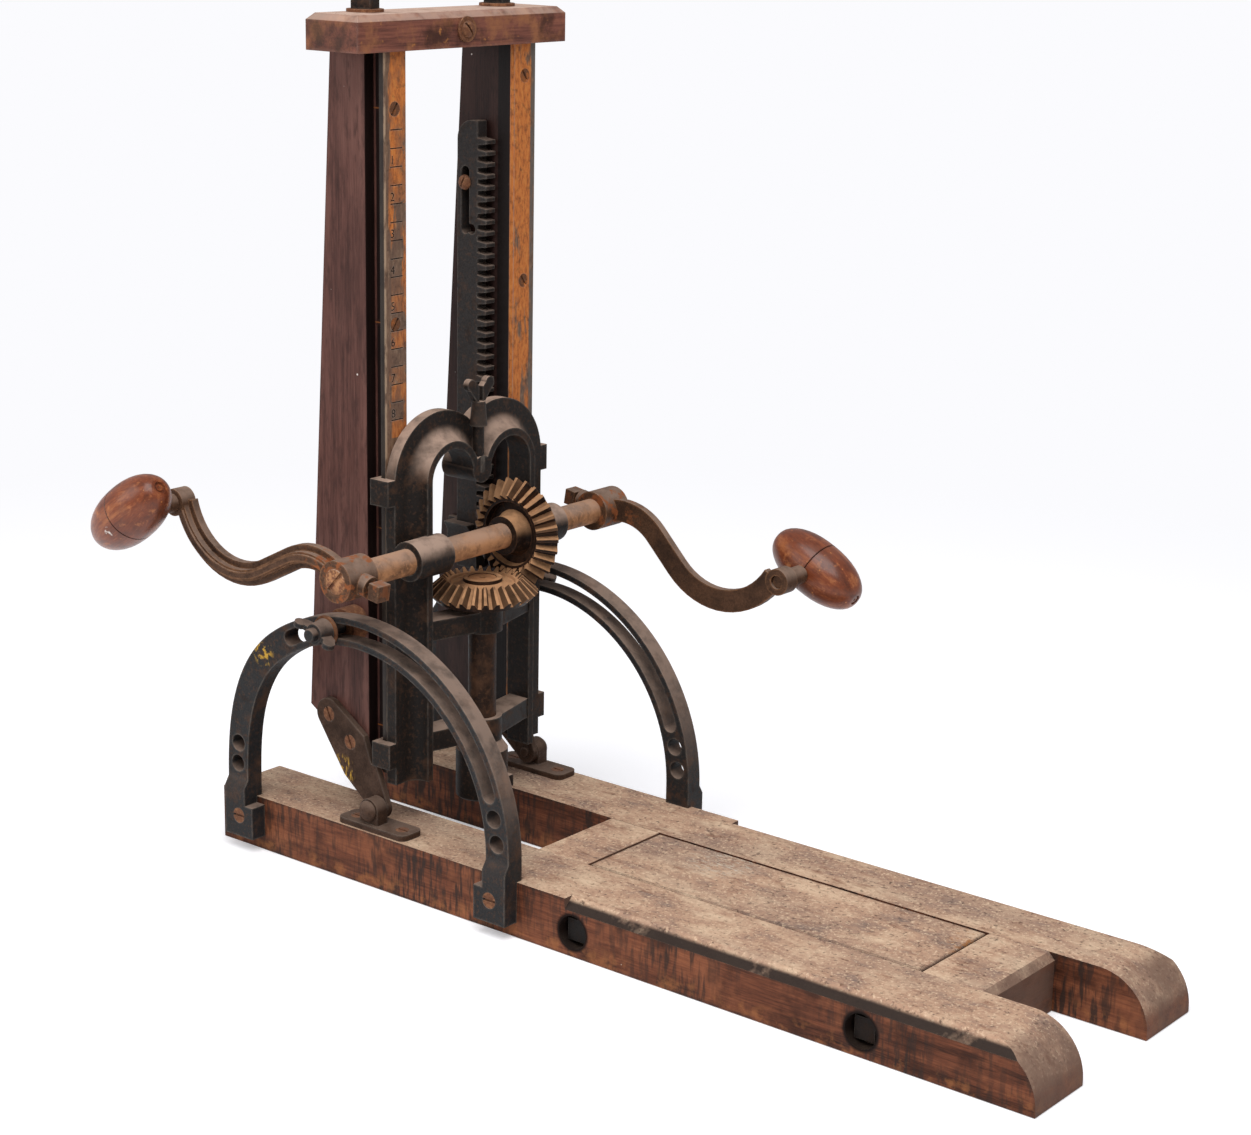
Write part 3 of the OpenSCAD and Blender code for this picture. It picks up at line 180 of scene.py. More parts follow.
class StudioSettings(PropertyGroup):
    """Light and camera."""
    key_watts: FloatProperty(name="Key light", description="Power of the large lamp above", subtype="POWER",
                             default=50.0, min=0.0)
    fill_watts: FloatProperty(name="Fill light", description="Power of the lamp beside the camera",
                              subtype="POWER", default=14.0, min=0.0)
    sky: FloatProperty(name="Room light", description="Even light of the white room", default=0.45, min=0.0)
    lens: FloatProperty(name="Lens", description="Focal length in millimetres", default=74.8, min=20, max=200)
    camera_place: FloatVectorProperty(name="Camera place", description="Where the camera stands",
                                      subtype="TRANSLATION", unit="LENGTH", default=(1.0458, -1.3732, 0.7273))
    camera_turn: FloatVectorProperty(name="Camera turn", description="How the camera is turned",
                                     subtype="EULER", unit="ROTATION",
                                     default=[math.radians(angle) for angle in (74.78, -1.064, 38.818)])


# Patterns and coats that the finishes are made of

def put(tree, kind, inputs=None, ramp=None, **settings):
    """Adds one node, sets it up, and fills or links its inputs."""
    node = tree.nodes.new(kind)
    for name, value in settings.items():
        setattr(node, name, value)
    for key, value in (inputs or {}).items():
        if isinstance(value, bpy.types.NodeSocket):
            tree.links.new(value, node.inputs[key])
        else:
            node.inputs[key].default_value = value
    if ramp:
        stops = node.color_ramp.elements
        while len(stops) < len(ramp):
            stops.new(1.0)
        for stop, (where, colour) in zip(stops, ramp):
            stop.position = where
            stop.color = colour
    return node


def place_on(tree, stretch=(1, 1, 1), shift=(0, 0, 0)):
    """Place on the piece in metres, squeezed along a direction and shifted."""
    where = put(tree, "ShaderNodeTexCoord")
    return put(tree, "ShaderNodeMapping", {"Vector": where.outputs["Object"], "Location": shift,
                                           "Scale": stretch}).outputs[0]


def fade(tree, reading, axis, low, high):
    """0 where the place (Object) or the facing (Normal) along an axis is low, 1 where it is high."""
    where = put(tree, "ShaderNodeTexCoord")
    parts = put(tree, "ShaderNodeSeparateXYZ", {0: where.outputs[reading]})
    return put(tree, "ShaderNodeMapRange", {"Value": parts.outputs[axis], "From Min": low, "From Max": high},
               interpolation_type="SMOOTHSTEP").outputs[0]


def close_to(tree, centre_mm, inner_mm, outer_mm):
    """1 within a distance of a point, fading to 0."""
    where = put(tree, "ShaderNodeTexCoord")
    away = put(tree, "ShaderNodeVectorMath", {0: where.outputs["Object"], 1: [c * MM for c in centre_mm]},
               operation="DISTANCE")
    return put(tree, "ShaderNodeMapRange", {"Value": away.outputs["Value"], "From Min": outer_mm * MM,
                                            "From Max": inner_mm * MM}).outputs[0]


def sharp_edges(tree, reach_mm):
    """1 along edges and 0 on flat faces, from how far the normal would turn in a rounded edge."""
    rounded = put(tree, "ShaderNodeBevel", {"Radius": reach_mm * MM}, samples=6)
    flat = put(tree, "ShaderNodeNewGeometry")
    match = put(tree, "ShaderNodeVectorMath", {0: rounded.outputs[0], 1: flat.outputs["Normal"]},
                operation="DOT_PRODUCT")
    return put(tree, "ShaderNodeMapRange", {"Value": match.outputs["Value"], "From Min": 0.995,
                                            "From Max": 0.90}).outputs[0]


def patches(tree, size_mm, low, high, shift=(0, 0, 0), stretch=(1, 1, 1), detail=5.0):
    """Irregular patches of about one size, between 0 and 1: more of them as low and high come down."""
    noise = put(tree, "ShaderNodeTexNoise", {"Vector": place_on(tree, stretch, shift),
                                             "Scale": 1000 / size_mm, "Detail": detail, "Roughness": 0.62})
    return put(tree, "ShaderNodeMapRange", {"Value": noise.outputs["Fac"], "From Min": low,
                                            "From Max": high}).outputs[0]


def specks(tree, spacing_mm, size_mm, share, shift=(0, 0, 0)):
    """Scattered dots: a share of the cells of a loose grid holds one."""
    cells = put(tree, "ShaderNodeTexVoronoi", {"Vector": place_on(tree, shift=shift),
                                               "Scale": 1000 / spacing_mm})
    reach = size_mm / spacing_mm / 2
    dots = put(tree, "ShaderNodeMapRange", {"Value": cells.outputs["Distance"], "From Min": reach,
                                            "From Max": reach * 0.6})
    lot = put(tree, "ShaderNodeSeparateColor", {0: cells.outputs["Color"]})
    drawn = put(tree, "ShaderNodeMath", {0: lot.outputs[0], 1: 1 - share}, operation="GREATER_THAN")
    return put(tree, "ShaderNodeMath", {0: dots.outputs[0], 1: drawn.outputs[0]},
               operation="MULTIPLY").outputs[0]


def spaces_by_lot(tree, top, pitch):
    """A share between 0 and 1 for each space between two lines of a scale, drawn by lot."""
    where = put(tree, "ShaderNodeTexCoord")
    parts = put(tree, "ShaderNodeSeparateXYZ", {0: where.outputs["Object"]})
    rise = put(tree, "ShaderNodeMath", {0: parts.outputs["Z"], 1: -top}, operation="ADD")
    spaces = put(tree, "ShaderNodeMath", {0: rise.outputs[0], 1: pitch}, operation="DIVIDE")
    number = put(tree, "ShaderNodeMath", {0: spaces.outputs[0]}, operation="FLOOR")
    lot = put(tree, "ShaderNodeTexWhiteNoise", {"W": number.outputs[0]}, noise_dimensions="1D")
    return put(tree, "ShaderNodeMapRange", {"Value": lot.outputs["Value"], "From Min": 0.55,
                                            "From Max": 0.2}).outputs[0]


def mark_on(tree, shift, hex_colour, centre_mm, reach_mm, patch_mm, stretch=(1, 1, 1), share=0.9):
    """A coat of crumbs, scratches, flecks or rust in one place."""
    return (linear(hex_colour), 0.85, close_to(tree, centre_mm, reach_mm * 0.5, reach_mm),
            patches(tree, patch_mm, 0.52, 0.60, shift, stretch), share)


def lay_coats(tree, colour, rough, coats):
    """Colour and roughness of a surface under coats, each with a colour, a roughness and its masks."""
    for coat_colour, coat_rough, *masks in coats:
        share = masks[0]
        for mask in masks[1:]:
            share = put(tree, "ShaderNodeMath", {0: share, 1: mask}, operation="MULTIPLY").outputs[0]
        colour = put(tree, "ShaderNodeMix", {0: share, 6: colour, 7: coat_colour},
                     data_type="RGBA").outputs[2]
        rough = put(tree, "ShaderNodeMix", {0: share, 2: rough, 3: coat_rough}).outputs[0]
    return colour, rough


def new_material(name):
    """An empty material and its node tree."""
    material = bpy.data.materials.new(name)
    material.use_nodes = True
    material.node_tree.nodes.clear()
    return material, material.node_tree


def finish_material(material, tree, colour, rough, height, bump_mm, bump, **shader):
    """Joins colour, roughness and surface height to the shader."""
    relief = put(tree, "ShaderNodeBump", {"Height": height, "Strength": bump, "Distance": bump_mm * MM})
    surface = put(tree, "ShaderNodeBsdfPrincipled", {"Base Color": colour, "Roughness": rough,
                                                     "Normal": relief.outputs[0], **shader})
    put(tree, "ShaderNodeOutputMaterial", {"Surface": surface.outputs[0]})
    return material


def shifts(seed):
    """Two shifts that set one board or casting apart from the next."""
    return (seed * 0.37, seed * 0.21, seed * 0.13), (seed * 0.11, seed * 0.43, seed * 0.29)


def grain_of(tree, grain, shift, dark, mid, light):
    """Colour and height of planed wood: fibres 1.5 mm wide in bands 14 mm wide."""
    fibre = put(tree, "ShaderNodeTexNoise", {"Vector": place_on(tree, grain, shift), "Scale": 1000 / 1.5,
                                             "Detail": 5.0, "Roughness": 0.7})
    band = put(tree, "ShaderNodeTexNoise", {"Vector": place_on(tree, grain, shift), "Scale": 1000 / 14,
                                            "Detail": 4.0, "Roughness": 0.6, "Distortion": 0.4})
    figure = put(tree, "ShaderNodeMix", {0: 0.45, 2: band.outputs["Fac"], 3: fibre.outputs["Fac"]})
    colour = put(tree, "ShaderNodeValToRGB", {0: figure.outputs[0]},
                 ramp=[(0.34, dark), (0.5, mid), (0.68, light)])
    return colour.outputs[0], fibre.outputs["Fac"]


# Finishes

def stained_beech(name, grain, seed, sawn=0.0, gap_shade=0.0, bores=(), marks=()):
    """Beech with a worn red-brown stain under years of dust. It gives streaks along the grain, dark saw marks
    across it, a grimy chamfer, bare low edges, and tan powder with grey blotches where it looks up."""
    look = bpy.context.scene.wood_colours
    material, tree = new_material(name)
    shift, other = shifts(seed)
    dark, mid, light = [rgba(c) for c in (look.stain_dark, look.stain_mid, look.stain_light)]
    dust_dark, dust_mid, dust_light = [rgba(c) for c in (look.dust_dark, look.dust_mid, look.dust_light)]
    grime = rgba(look.grime)
    colour, height = grain_of(tree, grain, shift, dark, mid, light)
    powder = put(tree, "ShaderNodeTexNoise", {"Vector": place_on(tree, (0.6, 1, 1), shift),
                                              "Scale": 1000 / 30, "Detail": 9.0, "Roughness": 0.74})
    dust = put(tree, "ShaderNodeValToRGB", {0: powder.outputs["Fac"]},
               ramp=[(0.32, dust_dark), (0.47, dust_mid), (0.66, dust_light)])
    low = fade(tree, "Object", "Z", 16 * MM, 5 * MM)
    looks_up = fade(tree, "Normal", "Z", 0.15, 0.6)
    looks_out = fade(tree, "Normal", "X", 0.15, 0.6)
    slow_grain = [max(0.4, squeeze) for squeeze in grain]
    coats = [
        (light, 0.55, patches(tree, 50, 0.52, 0.78, shift)),
        (dark, 0.5, patches(tree, 26, 0.50, 0.70, other), 0.85),
        # saw marks 4 mm apart, across the board, strongest in hand-wide stretches
        (grime, 0.6, patches(tree, 4.0, 0.46, 0.58, shift, (1, 0.02, 0.16), 2.0),
         patches(tree, 100, 0.36, 0.54, other), sawn),
        # bare low edges and handling dirt
        (rgba(look.bare), 0.6, low, patches(tree, 12, 0.48, 0.62, shift), 0.5),
        (grime, 0.6, sharp_edges(tree, 5.0), patches(tree, 16, 0.34, 0.60, shift), 0.8),
        # dust on the tops, with blotches, crumbs of dirt, light powder and places wiped down to the stain
        (dust.outputs[0], 0.93, looks_up, 0.93),
        (dust_dark, 0.9, looks_up, patches(tree, 60, 0.46, 0.68, other, slow_grain, 8.0), 0.5),
        (grime, 0.9, looks_up, patches(tree, 3.0, 0.55, 0.68, shift), 0.7),
        (dust_light, 0.95, looks_up, patches(tree, 2.4, 0.54, 0.66, other), 0.85),
        (mid, 0.8, looks_up, patches(tree, 9, 0.56, 0.72, shift, (0.35, 1, 1)), 0.55),
        # greyed ends on the seat side, and painted shade along the panel's edges, where the gap round it is
        # dark
        (linear("#6E564A"), 0.85, looks_out, patches(tree, 34, 0.26, 0.56, shift), 0.8),
        (grime, 0.9, sharp_edges(tree, 4.0), patches(tree, 12, 0.2, 0.45, other), gap_shade),
    ]
    # the dust of the top rolls over the first millimetres of a chamfer, and grime covers the rest of it
    top = corners("near_rail")[1].z
    rolled = fade(tree, "Object", "Z", top - 1.5 * MM, top - 4 * MM)
    for side in (-1, 1):
        slopes = [fade(tree, "Normal", "Y", side * 0.35, side * 0.6), fade(tree, "Normal", "Z", 0.35, 0.6)]
        coats.append((grime, 0.7, *slopes, rolled, patches(tree, 50, 0.22, 0.42, other), 0.98))
    # painted shade: near black within 15 mm of each bolt bore's middle, on the walls of its counterbore
    coats += [(linear("#140D0B"), 0.85, close_to(tree, bore, 13.5, 15.5), 0.95) for bore in bores]
    coats += [mark_on(tree, shift, *mark) for mark in marks]
    coats.append((linear("#C9BBA8"), 0.9, specks(tree, 17, 1.3, 0.22, shift)))
    colour, rough = lay_coats(tree, colour, 0.52, coats)
    return finish_material(material, tree, colour, rough, height, 0.5, 0.5, **{"Specular IOR Level": 0.12})


def dark_walnut(name, seed, inward):
    """Walnut post under a dark stain. It gives fine upright grain, purplish where it is worn, near-black
    painted shade with some greasy dirt on the front where the strip overhangs it, a near-black inner face,
    and a few white specks."""
    look = bpy.context.scene.wood_colours
    material, tree = new_material(name)
    shift, other = shifts(seed)
    dark, mid, light = [rgba(c) for c in (look.walnut_dark, look.walnut_mid, look.walnut_light)]
    grease = rgba(look.grease)
    front = corners("near_upright")[1].x
    colour, height = grain_of(tree, (1, 1, 0.05), shift, dark, mid, light)
    coats = [
        (light, 0.5, patches(tree, 45, 0.50, 0.75, shift, (1, 1, 0.4)), 0.7),
        (dark, 0.5, patches(tree, 60, 0.52, 0.72, other, (1, 1, 0.4)), 0.8),
        (dark, 0.5, patches(tree, 5, 0.50, 0.66, shift, (1, 1, 0.25)), 0.6),
        # painted shade of the groove under the strip, with some greasy dirt: near-black on the front and on
        # all within 12 mm of it; darker on the inner face
        (grease, 0.5, fade(tree, "Normal", "X", 0.3, 0.6), 0.95),
        (grease, 0.5, fade(tree, "Object", "X", front - 12 * MM, front - 11 * MM), 0.93),
        (grease, 0.42, fade(tree, "Normal", "Y", 0.3 * inward, 0.6 * inward), 0.72),
        (dark, 0.6, sharp_edges(tree, 2.5), patches(tree, 12, 0.35, 0.6, shift), 0.6),
        # scuffs and white specks
        (linear("#8C7C74"), 0.8, specks(tree, 75, 16, 0.35, shift), patches(tree, 5, 0.52, 0.66, other), 0.7),
        (linear("#CFC4BC"), 0.9, specks(tree, 15, 1.8, 0.35, other)),
    ]
    colour, rough = lay_coats(tree, colour, 0.46, coats)
    return finish_material(material, tree, colour, rough, height, 0.4, 0.45, **{"Specular IOR Level": 0.14})


def cap_beech(name, seed):
    """Beech cap with a thin old stain. It gives orange-brown rubbed patches on the front, dark end grain and
    a pale top that is partly dust and partly painted light from above."""
    look = bpy.context.scene.wood_colours
    material, tree = new_material(name)
    shift, other = shifts(seed)
    dark, mid, light = [rgba(c) for c in (look.cap_dark, look.cap_mid, look.cap_light)]
    colour, height = grain_of(tree, (1, 0.06, 1), shift, dark, mid, light)
    front = fade(tree, "Normal", "X", 0.3, 0.6)
    near_end = fade(tree, "Normal", "Y", -0.3, -0.6)
    looks_up = fade(tree, "Normal", "Z", 0.4, 0.95)
    coats = [
        (rgba(look.cap_worn), 0.55, patches(tree, 22, 0.48, 0.64, shift), 0.8),
        (rgba(look.stain_dark), 0.5, patches(tree, 30, 0.52, 0.66, other), 0.75),
        (linear("#B4773F"), 0.6, patches(tree, 7, 0.62, 0.72, shift), front, 0.8),
        (rgba(look.grime), 0.6, near_end, patches(tree, 18, 0.28, 0.6, other), 0.8),
        # pale top: partly dust, partly painted light from above
        (rgba(look.cap_dust), 0.85, looks_up, patches(tree, 12, 0.15, 0.5, shift), 0.9),
        (linear("#7C5D52"), 0.6, sharp_edges(tree, 4.0), patches(tree, 11, 0.35, 0.6, other), 0.6),
        (linear("#D5C8BB"), 0.9, specks(tree, 14, 1.1, 0.3, shift)),
    ]
    colour, rough = lay_coats(tree, colour, 0.5, coats)
    return finish_material(material, tree, colour, rough, height, 0.4, 0.45, **{"Specular IOR Level": 0.14})


def old_iron(name, base, rust, seed, rusty, dusty, wear, edge=None, dust=None, grain_mm=1.3, reach_mm=2.2,
             marks=()):
    """Sand-cast or forged iron. It gives a grainy dark skin, rust in patches and pits, rubbed edges that
    shine a little, and brown dust where it looks up."""
    look = bpy.context.scene.iron_colours
    material, tree = new_material(name)
    shift, other = shifts(seed)
    skin = put(tree, "ShaderNodeTexNoise", {"Vector": place_on(tree, shift=shift), "Scale": 1000 / grain_mm,
                                            "Detail": 4.0, "Roughness": 0.65})
    shade = [c * 0.55 for c in base]
    colour = put(tree, "ShaderNodeValToRGB", {0: skin.outputs["Fac"]},
                 ramp=[(0.3, rgba(shade)), (0.65, rgba(base))])
    few = 0.62 - 0.3 * rusty
    coats = [
        # rust in patches, rust in pits and dark hollows
        (rgba(rust), 0.8, patches(tree, 24, few, few + 0.23, shift, detail=8.0), 0.9),
        (rgba(rust), 0.85, patches(tree, 3.0, 0.52, 0.66, other), 0.25 + 0.5 * rusty),
        (rgba(look.deep), 0.8, patches(tree, 9, 0.56, 0.72, other), 0.6),
        # rubbed edges, and dust on what looks up
        (rgba(edge or look.bare), 0.45, sharp_edges(tree, reach_mm),
         patches(tree, 7, 0.30, 0.62, shift), wear),
        (rgba(dust or look.dust), 0.95, fade(tree, "Normal", "Z", -0.05, 0.75),
         patches(tree, 13, 0.12, 0.55, shift), dusty),
    ]
    coats += [mark_on(tree, other, *mark) for mark in marks]
    colour, rough = lay_coats(tree, colour.outputs[0], 0.5, coats)
    return finish_material(material, tree, colour, rough, skin.outputs["Fac"], 0.45, 0.5,
                           **{"Specular IOR Level": 0.12})


def strip_iron(name, seed, node, outer, film_low, rubbed_hex, rubbed_mm, scale=None):
    """Flat bar. It gives orange rust and old lacquer in long patches over grey metal, a rubbed outer edge
    and, where there is a scale, a film that breaks off at the lines and black dirt in them."""
    look = bpy.context.scene.iron_colours
    material, tree = new_material(name)
    shift, other = shifts(seed)
    low, high = corners(node)
    edge = high.y if outer > 0 else low.y

    def inwards(start_mm, end_mm):
        """Fade between two distances from the outer edge."""
        return fade(tree, "Object", "Y", edge - outer * start_mm * MM, edge - outer * end_mm * MM)

    skin = put(tree, "ShaderNodeTexNoise", {"Vector": place_on(tree, (1, 1, 0.3), shift), "Scale": 1000 / 2.2,
                                            "Detail": 5.0, "Roughness": 0.7})
    metal = put(tree, "ShaderNodeValToRGB", {0: skin.outputs["Fac"]},
                ramp=[(0.3, linear("#4A382D")), (0.55, linear("#6F5542")), (0.75, linear("#8C735E"))])
    film = put(tree, "ShaderNodeValToRGB", {0: skin.outputs["Fac"]},
               ramp=[(0.3, linear("#744020")), (0.5, rgba(look.orange)), (0.75, linear("#C2813F"))])
    film = film.outputs[0]
    coats = [(film, 0.6, patches(tree, 18, film_low, film_low + 0.05, shift, (1, 1.1, 0.25), 6.0),
              inwards(3.7, 5.7))]
    if scale:
        first_line, pitch = scale
        above = fade(tree, "Object", "Z", first_line - 1 * MM, first_line + 1 * MM)
        within = inwards(6.2, 7.7)
        coats += [
            # film that is kept in some spaces and above the first line, and grime over it
            (film, 0.6, spaces_by_lot(tree, first_line, pitch), within,
             patches(tree, 9, 0.36, 0.44, other), 0.75),
            (film, 0.55, above, within, patches(tree, 9, 0.26, 0.34, other)),
            (linear("#62483A"), 0.6, patches(tree, 12, 0.44, 0.60, shift, (1, 1, 0.5)), 0.65),
        ]
    coats += [
        # dark spots, the rubbed outer edge, a painted highlight along the edges that is partly rubbed bare
        # metal, and painted shade on the outer side face
        (linear("#33271F"), 0.7, patches(tree, 5, 0.55, 0.70, shift), 0.6),
        (linear(rubbed_hex), 0.5, inwards(rubbed_mm + 1.2, rubbed_mm),
         patches(tree, 8, 0.42, 0.52, other, (1, 1, 0.35)), 0.8),
        # painted highlight, partly rubbed bare metal, along the edges
        (linear("#8F867C"), 0.45, sharp_edges(tree, 1.5),
         patches(tree, 9, 0.30, 0.55, shift, (1, 1, 0.4)), 0.5),
        # painted shade: the outer side face near black, like the groove in shade beside it
        (linear("#17110E"), 0.5, fade(tree, "Normal", "Y", outer * 0.4, outer * 0.9), 0.95),
    ]
    if scale:
        sunk = fade(tree, "Object", "X", high.x - 0.08 * MM, high.x - 0.25 * MM)
        coats.append((linear("#1C1613"), 0.9, sunk, fade(tree, "Normal", "X", 0.3, 0.6), within))
    colour, rough = lay_coats(tree, metal.outputs[0], 0.45, coats)
    return finish_material(material, tree, colour, rough, skin.outputs["Fac"], 0.25, 0.35,
                           **{"Specular IOR Level": 0.25})


def varnished_maple(name, seed, lean, marks=()):
    """Turned maple under old varnish. It gives fine streaks along the barrel, rubbed pale spots, dark
    handling dirt and a soft gloss."""
    look = bpy.context.scene.handle_sizes
    material, tree = new_material(name)
    shift, other = shifts(seed)
    where = put(tree, "ShaderNodeTexCoord")
    # the barrel's own direction comes to X, and the pattern is drawn out along it
    turned = put(tree, "ShaderNodeVectorRotate", {"Vector": where.outputs["Object"], "Angle": lean},
                 rotation_type="Y_AXIS")
    drawn = put(tree, "ShaderNodeMapping", {"Vector": turned.outputs[0], "Location": shift,
                                            "Scale": (0.12, 1, 1)})
    fibre = put(tree, "ShaderNodeTexNoise", {"Vector": drawn.outputs[0], "Scale": 1000 / 1.4, "Detail": 5.0,
                                             "Roughness": 0.7})
    band = put(tree, "ShaderNodeTexNoise", {"Vector": drawn.outputs[0], "Scale": 1000 / 9, "Detail": 4.0,
                                            "Distortion": 0.5})
    figure = put(tree, "ShaderNodeMix", {0: 0.4, 2: band.outputs["Fac"], 3: fibre.outputs["Fac"]})
    dark, mid, light = [rgba(c) for c in (look.varnish_dark, look.varnish_mid, look.varnish_light)]
    colour = put(tree, "ShaderNodeValToRGB", {0: figure.outputs[0]},
                 ramp=[(0.33, dark), (0.52, mid), (0.74, light)])
    coats = [
        (light, 0.5, patches(tree, 8, 0.58, 0.70, shift), 0.85),
        (linear("#6E4636"), 0.6, patches(tree, 20, 0.52, 0.70, other), 0.5),
        (dark, 0.4, patches(tree, 15, 0.55, 0.72, shift), 0.8),
        (linear("#C07A42"), 0.5, specks(tree, 6, 1.6, 0.3, other), 0.7),
        (linear("#2A1812"), 0.6, sharp_edges(tree, 1.2), 0.75),
    ]
    coats += [mark_on(tree, shift, *mark) for mark in marks]
    colour, rough = lay_coats(tree, colour.outputs[0], 0.34, coats)
    return finish_material(material, tree, colour, rough, fibre.outputs["Fac"], 0.2, 0.25,
                           **{"Specular IOR Level": 0.25, "Coat Weight": 0.25, "Coat Roughness": 0.2})


# Modelling steps that several pieces share

def dress(name, material, round_mm):
    """Gives a node of the frame its finish, joins its triangles to faces and eases its edges."""
    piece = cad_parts[name]
    piece.data.materials.clear()
    piece.data.materials.append(material)
    for face in piece.data.polygons:
        face.use_smooth = True
    weld = piece.modifiers.new("weld", "WELD")
    weld.merge_threshold = 0.02 * MM
    plain = piece.modifiers.new("plain faces", "DECIMATE")
    plain.decimate_type = "DISSOLVE"
    plain.angle_limit = math.radians(0.5)
    rounding = piece.modifiers.new("eased edges", "BEVEL")
    rounding.width = round_mm * MM
    rounding.segments = 2
    rounding.limit_method = "ANGLE"
    rounding.angle_limit = math.radians(32)
    rounding.harden_normals = True
    piece.modifiers.new("even shading", "WEIGHTED_NORMAL").keep_sharp = True


def start_piece():
    """Clears the selection, so that the next operator acts on its own piece only."""
    if bpy.context.object and bpy.context.object.mode != "OBJECT":
        bpy.ops.object.mode_set(mode="OBJECT")
    bpy.ops.object.select_all(action="DESELECT")


def pick(piece):
    """Makes one piece the only selected one."""
    start_piece()
    piece.select_set(True)
    bpy.context.view_layer.objects.active = piece


def settle(piece):
    """Puts the place, turn and size of a piece into its mesh."""
    pick(piece)
    bpy.ops.object.transform_apply(location=True, rotation=True, scale=True)


def repeat(piece, count, step):
    """Copies a shape along a step."""
    row = piece.modifiers.new("row", "ARRAY")
    row.count = count
    row.use_relative_offset = False
    row.use_constant_offset = True
    row.constant_offset_displace = step
    pick(piece)
    bpy.ops.object.modifier_apply(modifier=row.name)


def carve(piece, cutters):
    """Cuts shapes out of a piece."""
    start_piece()
    for cutter in cutters:
        cutter.select_set(True)
    tool = cutters[0]
    bpy.context.view_layer.objects.active = tool
    if len(cutters) > 1:
        bpy.ops.object.join()
    bpy.ops.object.mode_set(mode="EDIT")
    bpy.ops.mesh.select_all(action="SELECT")
    bpy.ops.mesh.remove_doubles(threshold=0.005 * MM)
    bpy.ops.mesh.normals_make_consistent(inside=False)
    bpy.ops.object.mode_set(mode="OBJECT")
    cut = piece.modifiers.new("carve", "BOOLEAN")
    cut.operation = "DIFFERENCE"
    cut.solver = "EXACT"
    cut.object = tool
    pick(piece)
    bpy.ops.object.modifier_apply(modifier=cut.name)
    bpy.data.objects.remove(tool)


def turn(name, outline, steps=72):
    """Turns an outline of (radius, height) points round the Z axis, as on a lathe."""
    start_piece()
    bpy.ops.mesh.primitive_plane_add(size=MM)
    piece = bpy.context.object
    piece.name = name
    bpy.ops.object.mode_set(mode="EDIT")
    bpy.ops.mesh.merge(type="CENTER")
    bpy.ops.transform.translate(value=(outline[0][0], 0, outline[0][1]))
    for (radius, height), (next_radius, next_height) in zip(outline, outline[1:]):
        step = (next_radius - radius, 0, next_height - height)
        bpy.ops.mesh.extrude_region_move(TRANSFORM_OT_translate={"value": step})
    bpy.ops.mesh.select_all(action="SELECT")
    bpy.ops.mesh.spin(steps=steps, angle=math.tau, center=(0, 0, 0), axis=(0, 0, 1))
    bpy.ops.mesh.select_all(action="SELECT")
    bpy.ops.mesh.remove_doubles(threshold=0.01 * MM)
    bpy.ops.mesh.normals_make_consistent(inside=False)
    bpy.ops.object.mode_set(mode="OBJECT")
    bpy.ops.object.shade_smooth_by_angle(angle=math.radians(35))
    return piece


# Operators, one for each group of pieces

class BEAMDRILL_OT_wood(Operator):
    """Finishes the rails, seat, uprights and cap"""
    bl_idname = "beam_drill.wood"
    bl_label = "Finish the wood"

    def execute(self, context):
        along_x, along_y = (0.06, 1, 1), (1, 0.06, 1)
        near_bores, far_bores = [self.bores(side) for side in (-1, 1)]
        crumbs = ("#96602F", (255, 25, 48), 42, 4.0)
        scratches = ("#C2B4A2", (28, 24, 48), 34, 1.6, (0.25, 1.6, 1))
        panel_marks = (crumbs, scratches)
        boards = (
            ("near_rail", "stained beech, near rail", along_x, 1, 1.6, {"sawn": 0.85, "bores": near_bores}),
            ("far_rail", "stained beech, far rail", along_x, 2, 1.6, {"sawn": 0.85, "bores": far_bores}),
            # the panel's edges get painted shade of the gap round it
            ("seat_panel", "dusty beech, panel", along_x, 3, 1.4, {"gap_shade": 0.95, "marks": panel_marks}),
            ("front_cross_rail", "dusty beech, front rail", along_y, 4, 0.8, {}),
            ("seat_end_rail", "dusty beech, seat end", along_y, 5, 1.2, {}),
        )
        for name, title, grain, seed, ease, wear in boards:
            dress(name, stained_beech(title, grain, seed, **wear), ease)
        dress("near_upright", dark_walnut("dark walnut, near upright", 6, 1), 1.2)
        dress("far_upright", dark_walnut("dark walnut, far upright", 7, -1), 1.2)
        dress("cap_beam", cap_beech("stained beech, cap", 8), 1.5)
        return {"FINISHED"}

    def bores(self, side):
        """Middles of a rail's bolt bores in millimetres, 4 mm in from its outer face."""
        low, high = [corner / MM for corner in corners("cross_washers")]
        radius = (high.z - low.z) / 2
        face = corners("far_rail")[1].y / MM
        return [(x, side * (face - 4), (low.z + high.z) / 2) for x in (low.x + radius, high.x - radius)]


